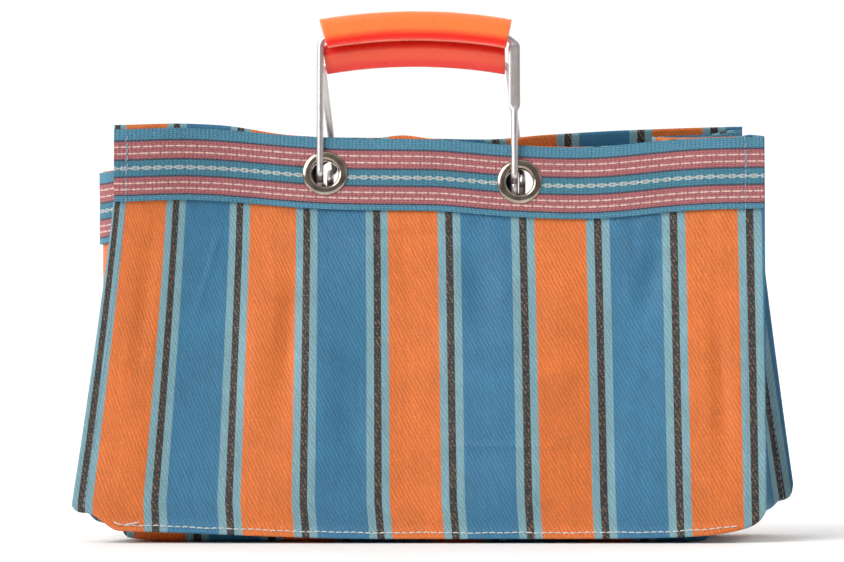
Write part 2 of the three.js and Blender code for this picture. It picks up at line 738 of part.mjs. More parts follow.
const REAR_LEG_SHIFT = 2.4; // the rear legs hang to the left in their eyelets
const REAR_LEG_PINCH = 1; // and stand this much closer together than the eyelets
const REAR_TOP_SHIFT = -10.7; // and lean to the left on their way up
const REAR_TOP_HALF = 65.5;
const rearFrame = handleFrame(walls.back, BACK_HANDLE_X);
const rearWire = tube(
  bailStations({
    side: -1,
    legLeft: -EYELET_SPAN / 2 - REAR_LEG_SHIFT,
    legRight: EYELET_SPAN / 2 - REAR_LEG_SHIFT - REAR_LEG_PINCH,
    topLeft: REAR_TOP_SHIFT - REAR_TOP_HALF,
    topRight: REAR_TOP_SHIFT + REAR_TOP_HALF,
    archZ: REAR_ARCH_Z,
  }),
  WIRE_R,
  WIRE_SIDES,
);
addPiece("rear_bail_wire", rearWire, looks.wire, rearFrame);
const rearGrip = gripShape({ lipLow: -6.5, backLow: -6.5, halfWidth: 7, top: 13.5 });
const rearGripBody = gripGeometry(rearGrip, REAR_GRIP_LENGTH, REAR_TOP_SHIFT, CRANK_OUT, REAR_ARCH_Z);
addPiece("rear_grip", rearGripBody, looks.grip, rearFrame);

export default bag;
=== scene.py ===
"""A striped woven market bag with two wire handles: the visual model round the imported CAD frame.

Lengths are millimetres in the code and become metres when a mesh is made. +X is the bag's right seen from
the front, +Y its back and +Z up. The cloth follows the CAD model's formulas, except for the right side, the
upper edge of the left side and the bottom corners, which have shapes of their own here.
"""
import math

import bpy
import numpy as np
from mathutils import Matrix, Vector


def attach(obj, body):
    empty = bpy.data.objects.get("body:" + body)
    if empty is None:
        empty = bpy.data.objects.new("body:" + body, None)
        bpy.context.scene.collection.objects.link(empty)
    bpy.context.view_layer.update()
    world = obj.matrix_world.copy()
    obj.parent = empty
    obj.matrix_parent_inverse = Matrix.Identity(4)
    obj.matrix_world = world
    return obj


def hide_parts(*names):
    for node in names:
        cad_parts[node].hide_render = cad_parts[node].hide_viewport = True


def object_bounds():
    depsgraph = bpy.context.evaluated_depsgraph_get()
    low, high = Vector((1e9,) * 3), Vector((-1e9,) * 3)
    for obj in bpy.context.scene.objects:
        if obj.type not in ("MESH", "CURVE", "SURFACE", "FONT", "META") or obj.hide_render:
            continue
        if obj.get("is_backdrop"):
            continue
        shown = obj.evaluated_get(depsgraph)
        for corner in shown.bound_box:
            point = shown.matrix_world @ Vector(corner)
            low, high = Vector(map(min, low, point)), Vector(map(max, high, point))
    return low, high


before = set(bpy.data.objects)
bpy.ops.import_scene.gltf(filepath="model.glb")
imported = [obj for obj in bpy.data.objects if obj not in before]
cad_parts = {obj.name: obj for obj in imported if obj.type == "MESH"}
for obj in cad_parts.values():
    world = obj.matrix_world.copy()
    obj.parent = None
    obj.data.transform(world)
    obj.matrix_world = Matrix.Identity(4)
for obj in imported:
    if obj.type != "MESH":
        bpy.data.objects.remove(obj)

CAD_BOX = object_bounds()
MM = 0.001

# ---- driving dimensions of the bag, as in the CAD model ----
TAPE_WIDTH = 50
TAPE_OFFSET = 1.6  # middle of the webbing to the middle of the cloth
GUSSET_TAPE_OFFSET = 2.1
SEAM_LAYER = 1.6
FIN = 11  # width of the pinched corner seams
HEM_FIN = 9
HEM_FLARE = 6
GUSSET_HEM_FLARE = 4.2
TURN = 4
EDGE_TOP = 226.3
EDGE_FLARE = 28.5
EDGE_STRAIGHT_FRONT = 229
EDGE_STRAIGHT_BACK = 228
FLARE_TOP_Z = 240
FLARE_HEIGHT = 212
BACK_TOP_IN = 11  # the back's right edge is drawn in at the mouth
HALF_DEPTH_LOW = 60
LOW_Z = 10
HALF_DEPTH_HINGE = 17.5
HINGE_Z = 253.75
LEAN = math.radians(12.5)
CORNER_OPEN_LEFT = 24
CORNER_OPEN_RIGHT = 10
FOLD_HEIGHT = 2.2

EYELET_R = 15.8
EYELET_HOLE_R = 9.6
EYELET_WALL = 0.9
EYELET_SPAN = 136.5
EYELET_RISE = 3
HANDLE_X = {"front": -10.85, "back": -5}
WIRE_R = 2.5
CRANK_OUT = 5.8
CRANK_IN = 6.0
CRANK_BEND = 3.2
TIP_LENGTH = 11
BAIL_BEND = 7
ARCH_R = 371
PAD = {"low": 51, "high": 93, "half_width": 4.1, "half_thickness": 1.5, "taper": 5}

# ---- sizes of the visual model only ----
CLOTH = 0.7  # thickness of the woven sheet
TAPE = 1.1
EYELET_DOME = 1.9
HALF_REPEAT = 52  # from one dark stripe to the next
FIRST_STRIPE = 0.0145  # share of the wall's width left of the first dark stripe
STRIPE_STEP = 0.1078
EASE_LEFT = 0.036  # share of its width by which a wall is eased to the left at the mouth


# ---- small helpers ----
def lerp(a, b, t):
    return a + (b - a) * t


def smooth(value):
    t = np.clip(value, 0, 1)
    return t * t * (3 - 2 * t)


def hump(value):
    """A round bump: 1 at 0, falling to 0 at -1 and 1."""
    return smooth(1 - np.abs(value))


def unit(vectors):
    return vectors / np.maximum(np.linalg.norm(vectors, axis=-1, keepdims=True), 1e-12)


def stack(*parts):
    return np.stack(np.broadcast_arrays(*parts), axis=-1)


def run_lengths(points):
    """How far each point of a line is from its start, along the line."""
    return np.concatenate([[0], np.cumsum(np.linalg.norm(np.diff(points, axis=0), axis=1))])


def interpolated(places, lengths, points):
    """The points at given places along a line whose points lie at the given lengths."""
    return np.stack([np.interp(places, lengths, points[:, k]) for k in range(3)], axis=1)


def profile(points):
    """A smooth line through [place, height] points, as a function of place."""
    places, heights = np.array(points, float).T
    last = len(places) - 1

    def height(place):
        at = np.clip(place, places[0], places[-1])
        span = np.clip(np.searchsorted(places, at, side="right") - 1, 0, last - 1)
        t = (at - places[span]) / (places[span + 1] - places[span])
        here, there = heights[span], heights[span + 1]
        slope_here = (there - heights[np.maximum(span - 1, 0)]) / 2
        slope_there = (heights[np.minimum(span + 2, last)] - here) / 2
        cubic = (2 * here - 2 * there + slope_here + slope_there) * t**3
        return cubic + (3 * there - 3 * here - 2 * slope_here - slope_there) * t**2 + slope_here * t + here

    return height


def centripetal(points, share):
    """The point at share (0 to 1) of a centripetal Catmull-Rom line through points[0], points[1] ..."""
    points = np.concatenate([[2 * points[0] - points[1]], points, [2 * points[-1] - points[-2]]])
    spans = len(points) - 3
    place = np.clip(share, 0, 1) * spans
    span = np.minimum(np.floor(place).astype(int), spans - 1)
    index = np.arange(points.shape[1])
    p0, p1, p2, p3 = (points[span + k, index] for k in range(4))
    pairs = ((p0, p1), (p1, p2), (p2, p3))
    d0, d1, d2 = (np.sqrt(np.linalg.norm(b - a, axis=-1, keepdims=True)) for a, b in pairs)
    v1 = ((p1 - p0) / d0 - (p2 - p0) / (d0 + d1) + (p2 - p1) / d1) * d1
    v2 = ((p2 - p1) / d1 - (p3 - p1) / (d1 + d2) + (p3 - p2) / d2) * d1
    t = (place - span)[:, None]
    return (2 * p1 - 2 * p2 + v1 + v2) * t**3 + (-3 * p1 + 3 * p2 - 2 * v1 - v2) * t**2 + v1 * t + p1


# ---- the shape of the bag ----
DEPTH_RUN = HINGE_Z - LOW_Z
DEPTH_MEAN_SLOPE = (HALF_DEPTH_HINGE - HALF_DEPTH_LOW) / DEPTH_RUN
DEPTH_BEND = (-math.tan(LEAN) - DEPTH_MEAN_SLOPE) / DEPTH_RUN


def half_depth(z):
    rise = z - LOW_Z
    return HALF_DEPTH_LOW + (DEPTH_MEAN_SLOPE - DEPTH_BEND * DEPTH_RUN) * rise + DEPTH_BEND * rise * rise


def leaning_edge(z):
    return EDGE_TOP + EDGE_FLARE * np.clip((FLARE_TOP_Z - z) / FLARE_HEIGHT, 0, 1) ** 1.1


class Dent:
    """A soft fold or crease: depth is outward where it is positive, lean is its slant."""

    def __init__(self, x, z, wide, high, depth, lean=0.0):
        self.x, self.z, self.wide, self.high, self.depth, self.lean = x, z, wide, high, depth, lean

    def at(self, x, z):
        across = (x - self.x - self.lean * (z - self.z)) / self.wide
        return self.depth * hump(across) * hump((z - self.z) / self.high)


class Wall:
    """One of the two large walls. Seen from the front, u runs from 0 at its left edge to 1 at its right."""

    def __init__(self, name, sign, left_x, right_x, low_edge, tape_top, hem, fold_phase, stripes_from, dents):
        self.name, self.sign = name, sign
        self.left_x, self.right_x = left_x, right_x
        self.low_edge, self.tape_top, self.hem = low_edge, tape_top, hem
        self.fold_phase, self.stripes_from, self.dents = fold_phase, stripes_from, dents

    def x(self, u, z):
        share = u - EASE_LEFT * np.clip(z / 280, 0, 1) * np.sin(np.pi * u)
        return lerp(self.left_x(z), self.right_x(z), share)

    def fine_folds(self, u, z):
        """Dents, creases and puckers too small for the CAD model."""
        x = self.x(u, z)
        folds = sum(dent.at(x, z) for dent in self.dents)
        under_tape = np.maximum(self.tape_top(u) - TAPE_WIDTH - z, 0)
        puckers = 0.4 * np.sin(x / 3.1 + 2 * np.sin(x / 31))
        folds = folds + puckers * smooth(under_tape / 3) * np.exp(-under_tape / 8)
        folds = folds + 0.35 * np.sin(x / 17 + z / 23) * np.sin(z / 29 - x / 41 + self.fold_phase)
        return folds * smooth(u / 0.08) * smooth((1 - u) / 0.08)

    def depth(self, u, z):
        upper = np.clip(z / 285, 0, 1)
        left_end = CORNER_OPEN_LEFT * smooth((0.26 - u) / 0.26)
        right_end = CORNER_OPEN_RIGHT * smooth((u - 0.72) / 0.28)
        area = smooth((215 - z) / 90) * smooth(u / 0.1) * smooth((1 - u) / 0.1) * smooth((z - 12) / 40)
        folds = FOLD_HEIGHT * np.sin(2 * np.pi * 3.2 * u + self.fold_phase + 0.008 * z)
        along_seam = smooth((u - 0.02) / 0.06) * smooth((0.98 - u) / 0.06)
        seam = HEM_FLARE * along_seam * np.clip(1 - (z - self.low_edge(u)) / HEM_FIN, 0, 1) ** 2
        return half_depth(z) + upper**2 * (left_end + right_end) + folds * area + seam + self.fine_folds(u, z)

    def point(self, u, z):
        return stack(self.x(u, z), self.sign * self.depth(u, z), z)

    def share(self, x, z):
        """u of the wall's point at a given x and z."""
        u = 0.5 + 0 * (x + z)
        for _ in range(12):
            u = u + (x - self.x(u, z)) / (self.right_x(z) - self.left_x(z))
        return u

    def stripe_mm(self, u, z):
        """Distance along the cloth from its first dark stripe; the cloth is eased more at the mouth."""
        share = (self.x(u, z) - self.left_x(z)) / (self.right_x(z) - self.left_x(z))
        cut = share
        for _ in range(8):
            lift = np.clip(z / 235, 0, 1)
            ease = 0.0375 * np.sin(np.pi * np.clip(cut, 0, 1) ** 0.75) + 0.0035 + 0.0037 * cut
            cut = share + lift * ease
        return (cut - self.stripes_from) / STRIPE_STEP * HALF_REPEAT

    def cloth_top(self, u):
        return self.tape_top(u) + self.hem(u)


FRONT = Wall(
    "front",
    -1,
    left_x=lambda z: -leaning_edge(z),
    right_x=lambda z: EDGE_STRAIGHT_FRONT + 0 * z,
    low_edge=lambda u: (
        3.4 + 5.8 * smooth(1 - u / 0.45)
        + 11.5 * smooth((0.07 - u) / 0.05) + 5 * np.exp(-u * 200)
        + 11 * np.exp((u - 1) * 18) + 8.5 * np.exp((u - 1) * 114)
    ),
    tape_top=profile([
        [0, 287.4], [0.14, 288.2], [0.35, 281.8], [0.53, 280.4],
        [0.64, 276.4], [0.76, 275.2], [0.9, 281], [1, 282.4],
    ]),
    hem=lambda u: 0.8 + 2.8 * smooth((0.3 - u) / 0.12) + 2.2 * hump((u - 0.48) / 0.05),
    fold_phase=0.4,
    stripes_from=FIRST_STRIPE,
    dents=[
        Dent(-104, 142, 13, 74, -3.5, lean=0.06),
        Dent(-128, 120, 16, 90, 2.2, lean=0.04),
        Dent(199, 104, 12, 90, -2.9, lean=-0.05),
        Dent(30, 180, 18, 60, -2.1, lean=-0.12),
        Dent(-48, 196, 30, 44, 2.4, lean=-0.3),
        Dent(42, 67, 92, 3.2, 1.1),
        Dent(-160, 190, 3, 50, 0.8, lean=0.28),
        Dent(-205, 170, 10, 80, -1.9, lean=0.1),
        Dent(118, 60, 16, 60, -1.9, lean=0.05),
        Dent(-60, 90, 22, 70, -2.6, lean=0.05),
        Dent(90, 150, 26, 70, 2.4, lean=-0.12),
        Dent(150, 185, 14, 46, -2.2, lean=0.18),
        Dent(-20, 214, 60, 5, -1.3),
        Dent(160, 212, 50, 5, -1.1),
    ],
)
BACK = Wall(
    "back",
    1,
    left_x=lambda z: -EDGE_STRAIGHT_BACK + 0 * z,
    right_x=lambda z: leaning_edge(z) - BACK_TOP_IN * smooth((z - FLARE_TOP_Z) / 40),
    low_edge=lambda u: 4.6 + 2.4 * np.exp(-u * 23) + 21 * np.exp((u - 1) * 5) + 10 * np.exp((u - 1) * 220),
    tape_top=profile([
        [0, 283], [0.3, 282], [0.5, 281.2], [0.66, 280.4], [0.82, 284.5], [1, 287.3],
    ]),
    hem=lambda u: 0.8 + 2 * smooth((u - 0.62) / 0.1),
    fold_phase=2.1,
    stripes_from=-0.005,
    dents=[
        Dent(96, 150, 15, 80, -3.2, lean=0.05),
        Dent(-60, 120, 14, 90, -2.9, lean=-0.06),
        Dent(-150, 110, 20, 80, 2.4, lean=0.1),
        Dent(20, 185, 22, 50, 2.2, lean=0.2),
        Dent(-10, 82, 120, 3.2, 1.0),
        Dent(170, 90, 12, 70, -2.2, lean=-0.08),
    ],
)


FIN_SHARE = 0.2  # of a gusset's width, at each corner seam


class Gusset:
    """A narrow side wall, sewn to the large ones. q runs across it from the front seam to the back one."""

    def __init__(self, name, sign, edge_of, share_at_edge, bulge, tuck, droop, mid_low):
        self.name, self.sign, self.edge_of, self.share_at_edge = name, sign, edge_of, share_at_edge
        self.bulge, self.tuck, self.droop, self.mid_low = bulge, tuck, droop, mid_low

    def seam_point(self, wall, z, inset):
        x = self.edge_of(wall, z) - self.sign * inset
        depth = wall.depth(wall.share(x, z), z)
        return stack(x, wall.sign * (depth - SEAM_LAYER), z)

    def wall_point(self, s, z):
        """Between the seams; s runs from -1 at the front to 1 at the back."""
        front = self.seam_point(FRONT, z, FIN + TURN)
        back = self.seam_point(BACK, z, FIN + TURN)
        point = lerp(front, back, np.asarray((s + 1) / 2 + 0 * z)[..., None])
        across = 1 - s * s
        seam = np.clip(1 - (z - self.low(s)) / HEM_FIN, 0, 1) ** 2
        creases = 0.9 * np.sin(z / 19 + 2.5 * s) * smooth((z - 25) / 40) * smooth((270 - z) / 40)
        point[..., 0] += self.sign * (self.bulge(z) - self.tuck(z) + creases) * across
        point[..., 0] += self.sign * GUSSET_HEM_FLARE * seam * (1 - s**4)
        return point

    def low(self, s):
        share = abs(self.share_at_edge - 0.03)
        ends = lerp(FRONT.low_edge(share), BACK.low_edge(share), (s + 1) / 2) + 2
        return lerp(self.mid_low, ends, np.abs(s) ** 1.3)

    def edge(self, q):
        """The lowest edge at q, which follows the wall's own edge in the two corner seams."""
        from_fin = np.minimum(q, 1 - q) / FIN_SHARE
        share = np.abs(self.share_at_edge - lerp(0.002, 0.03, np.clip(from_fin, 0, 1)))
        corner = np.where(q < 0.5, FRONT.low_edge(share), BACK.low_edge(share)) + 2
        return np.where(from_fin < 1, corner, self.low(self.across(q)))

    def point(self, q, z):
        shape = np.broadcast(q, z).shape
        q, z = (np.broadcast_to(value, shape).ravel() for value in (q, z))
        insets = (1, FIN * 0.5, FIN)
        line = [self.seam_point(FRONT, z, inset) for inset in insets]
        line += [self.wall_point(s, z) for s in (-0.88, -0.45, 0, 0.45, 0.88)]
        line += [self.seam_point(BACK, z, inset) for inset in reversed(insets)]
        return centripetal(np.array(line), q).reshape(*shape, 3)

    def across(self, q):
        return np.clip((q - 0.5) / 0.3, -1, 1)

    def tape_top(self, q):
        corner = self.share_at_edge
        ends = lerp(FRONT.tape_top(corner), BACK.tape_top(corner), q)
        return ends - self.droop * (1 - self.across(q) ** 4)


LEFT = Gusset(
    "left",
    -1,
    edge_of=lambda wall, z: wall.left_x(z),
    share_at_edge=0,
    bulge=lambda z: -10 + 33 * smooth(z / 230),
    tuck=lambda z: 0 * z,
    droop=28,
    mid_low=9,
)
RIGHT = Gusset(
    "right",
    1,
    edge_of=lambda wall, z: wall.right_x(z),
    share_at_edge=1,
    bulge=lambda z: 2 * smooth((130 - z) / 90) - 12 * smooth((70 - z) / 50),
    tuck=lambda z: 56 * smooth((z - 60) / 215),
    droop=3,
    mid_low=14,
)

# ---- base: a shallow tray whose rim is pinched into the bottom seams ----
RIM_RISE = 7
RIM_IN = 7
RIM_FLAT = 10
TRAY_IN = 27
END_LIFT_LEFT = 5  # the base's ends curl up off the floor
END_LIFT_RIGHT = 9
RIM_LAYER = 1.7
RIM_LIFT = 0.6
CORNER_BLEND = 9
CORNER_ROUND = 4


def base_end(gusset, s):
    return gusset.wall_point(s * 0.98, gusset.low(s * 0.98) + 1)[..., 0] - gusset.sign * 2.2


def base_point(a, b):
    across, along = 2 * a - 1, 2 * b - 1
    round_a = across * (1 - 0.03 * along**6)
    round_b = along * (1 - 0.06 * across**8)
    left_x, right_x = base_end(LEFT, round_b), base_end(RIGHT, round_b)
    x = lerp(left_x, right_x, (round_a + 1) / 2)
    low_z = LOW_Z + 0 * x
    edges, rims = [], []
    for wall in (FRONT, BACK):
        edge_z = wall.low_edge(wall.share(x, low_z))
        rim_y = wall.point(wall.share(x, edge_z), edge_z + RIM_LIFT)[..., 1] - wall.sign * RIM_LAYER
        edges.append(edge_z)
        rims.append(rim_y)
    y = lerp(rims[0], rims[1], (round_b + 1) / 2)
    gaps = np.maximum([(y - rims[0]) * 1.3, rims[1] - y, (x - left_x) * 2.2, right_x - x], 0)
    heights = np.array([edges[0], edges[1], LEFT.low(round_b) + 0 * x, RIGHT.low(round_b) + 0 * x])
    weights = np.exp(-gaps / CORNER_BLEND)
    edge_z = (heights * weights).sum(axis=0) / weights.sum(axis=0)
    nearest = np.maximum(0, -CORNER_ROUND * np.log(np.exp(-gaps / CORNER_ROUND).sum(axis=0)))
    lift = END_LIFT_RIGHT * smooth((x - 175) / 75) + END_LIFT_LEFT * smooth((-x - 185) / 65)
    waves = 0.5 * (1 + np.sin(x / 31 + 1.3) * np.cos(y / 19))
    floor_z = CLOTH / 2 + 0.1 + lift + waves
    rim = edge_z + RIM_RISE * nearest / RIM_IN
    tray = lerp(edge_z + RIM_RISE, floor_z, smooth((nearest - RIM_FLAT) / (TRAY_IN - RIM_FLAT)))
    return stack(x, y, np.where(nearest < RIM_IN, rim, tray))


# ---- meshes ----
def new_mesh(name, points, faces, material, uvs=None, uv_name="cloth"):
    mesh = bpy.data.meshes.new(name)
    mesh.from_pydata((np.asarray(points, float) * MM).tolist(), [], [list(map(int, face)) for face in faces])
    if uvs is not None:
        layer = mesh.uv_layers.new(name=uv_name)
        corners = np.empty(len(mesh.loops), dtype=np.int32)
        mesh.loops.foreach_get("vertex_index", corners)
        layer.data.foreach_set("uv", np.asarray(uvs, dtype=np.float32)[corners].ravel())
    mesh.materials.append(material)
    mesh.shade_smooth()
    mesh.update()
    piece = bpy.data.objects.new(name, mesh)
    bpy.context.scene.collection.objects.link(piece)
    return piece


def finish_piece(piece, body, replaces):
    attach(piece, body)
    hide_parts(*replaces)
    return piece


def grid_normals(points):
    along = np.gradient(points, axis=1)
    up = np.gradient(points, axis=0)
    return unit(np.cross(along, up))


class Hole:
    """A round hole cut in cloth round an eyelet's axis."""

    def __init__(self, centre, axis, radius):
        self.centre, self.axis, self.radius = np.array(centre), np.array(axis), radius

    def offsets(self, points):
        """Each point's way out from the axis, and how far along the axis it is."""
        away = points - self.centre
        along = (away @ self.axis)[..., None] * self.axis
        return away - along, along


HOLE_REACH = 25  # along the axis, so that a hole stays in its own wall


def cut_holes(points, holes):
    """Which cells of the grid stay, and the points with each hole's rim moved onto its circle."""
    keep = np.ones((points.shape[0] - 1, points.shape[1] - 1), bool)
    for hole in holes:
        spokes, along = hole.offsets(points)
        far = np.linalg.norm(spokes, axis=-1)
        inside = (far < hole.radius + 0.8) & (np.linalg.norm(along, axis=-1) <= HOLE_REACH)
        cell = inside[:-1, :-1] | inside[1:, :-1] | inside[:-1, 1:] | inside[1:, 1:]
        rim = np.zeros(points.shape[:2], bool)
        for rows in (slice(None, -1), slice(1, None)):
            for columns in (slice(None, -1), slice(1, None)):
                rim[rows, columns] |= cell
        rim &= ~inside
        moved = hole.centre + along + unit(spokes) * hole.radius
        points = np.where(rim[..., None], moved, points)
        keep &= ~cell
    return points, keep


def rim_faces(quads, count):
    """Faces that close the open edges between a skin and its copy, count vertices later."""
    sides = np.concatenate([quads[:, [k, (k + 1) % 4]] for k in range(4)])
    paired = {(a, b) for a, b in sides.tolist()}
    return [(b, a, a + count, b + count) for a, b in sides.tolist() if (b, a) not in paired]


def shell(name, points, uvs, thickness, material, shift=0.0, holes=()):
    """A closed cloth solid round a grid of points; shift moves it along the grid's normal."""
    points, keep = cut_holes(points, holes)
    normals = grid_normals(points)
    rows, columns = points.shape[:2]
    index = np.arange(rows * columns).reshape(rows, columns)
    quads = np.stack([index[:-1, :-1], index[:-1, 1:], index[1:, 1:], index[1:, :-1]], axis=-1)[keep]
    used, quads = np.unique(quads, return_inverse=True)
    quads = quads.reshape(-1, 4)
    middle, normals, uvs = (grid.reshape(rows * columns, -1)[used] for grid in (points, normals, uvs))
    count = len(used)
    if np.ndim(thickness):
        thickness = np.asarray(thickness).reshape(-1)[used][:, None]
    outer = middle + normals * (shift + thickness / 2)
    inner = middle + normals * (shift - thickness / 2)
    faces = quads.tolist() + (quads[:, ::-1] + count).tolist() + rim_faces(quads, count)
    return new_mesh(name, np.concatenate([outer, inner]), faces, material, np.concatenate([uvs, uvs]))


def spun(name, outline, frame_of, material, segments=96):
    """A ring: a closed outline of (radius, height) points spun about an axis."""
    centre, axis = frame_of
    side = np.array([1.0, 0.0, 0.0])
    up = np.cross(axis, side)
    angles = np.arange(segments) * 2 * np.pi / segments
    spokes = np.cos(angles)[:, None] * side + np.sin(angles)[:, None] * up
    outline = np.asarray(outline, float)
    points = centre + spokes[:, None, :] * outline[None, :, :1] + axis * outline[None, :, 1:]
    count = len(outline)
    faces = []
    for i in range(segments):
        for j in range(count):
            here, there = i * count, (i + 1) % segments * count
            faces.append((here + j, there + j, there + (j + 1) % count, here + (j + 1) % count))
    uvs = np.stack(np.broadcast_arrays(angles[:, None] * EYELET_R, np.arange(count)[None, :] * 0.5), axis=-1)
    return new_mesh(name, points.reshape(-1, 3), faces, material, uvs.reshape(-1, 2), "metal")


def smooth_line(points, rounds=2, closed=True):
    """Corner cutting: each round replaces every corner by two points."""
    points = np.asarray(points, float)
    for _ in range(rounds):
        after = np.roll(points, -1, axis=0)
        cut = np.stack([lerp(points, after, 0.25), lerp(points, after, 0.75)], axis=1)
        points = cut.reshape(-1, points.shape[1])
        if not closed:
            points = points[:-2]
    return points


def arc_points(centre, radii, start, end, steps):
    angles = np.radians(np.linspace(start, end, steps + 1))
    return [(centre[0] + radii[0] * math.cos(a), centre[1] + radii[1] * math.sin(a)) for a in angles]


def tube_faces(stations, count, first=0):
    """Faces of a tube through rings of count points each, closed at both ends."""
    last = first + (stations - 1) * count
    faces = [[first + j for j in range(count)][::-1], [last + j for j in range(count)]]
    for i in range(stations - 1):
        here, there = first + i * count, first + (i + 1) * count
        for j in range(count):
            after = (j + 1) % count
            faces.append((here + j, here + after, there + after, there + j))
    return faces


def swept(name, sections, material, uvs=None, uv_name="metal"):
    """A closed solid through sections, an array of (stations, points, 3)."""
    stations, count = sections.shape[:2]
    return new_mesh(name, sections.reshape(-1, 3), tube_faces(stations, count), material, uvs, uv_name)


def carried_frames(path):
    """Tangent and two side directions at each point of a path, carried along it without twist."""
    tangents = unit(np.gradient(path, axis=0))
    side = np.array([1.0, 0.0, 0.0])
    frames = []
    for tangent in tangents:
        side = side - (side @ tangent) * tangent
        side = side / np.linalg.norm(side)
        frames.append((tangent, side, np.cross(tangent, side)))
    return frames


def rounded_line(corners, radii, steps):
    """A line with rounded corners; radii has a value for each inner corner."""
    points = [corners[0]]
    for before, corner, after, radius in zip(corners, corners[1:], corners[2:], radii):
        back, ahead = (before - corner).normalized(), (after - corner).normalized()
        half = back.angle(ahead) / 2
        centre = corner + (back + ahead).normalized() * radius / math.sin(half)
        start = corner + back * radius / math.tan(half) - centre
        hinge = start.cross(ahead)
        turn = math.pi - 2 * half
        for step in range(steps + 1):
            angle = turn * step / steps
            spoke = start * math.cos(angle) + hinge.normalized().cross(start) * math.sin(angle)
            points.append(centre + spoke)
    return points + [corners[-1]]


def respaced(points, step):
    """Points an even step apart along a line."""
    points = np.array([tuple(point) for point in points], float)
    lengths = run_lengths(points)
    places = np.linspace(0, lengths[-1], max(2, int(round(lengths[-1] / step)) + 1))
    return interpolated(places, lengths, points)


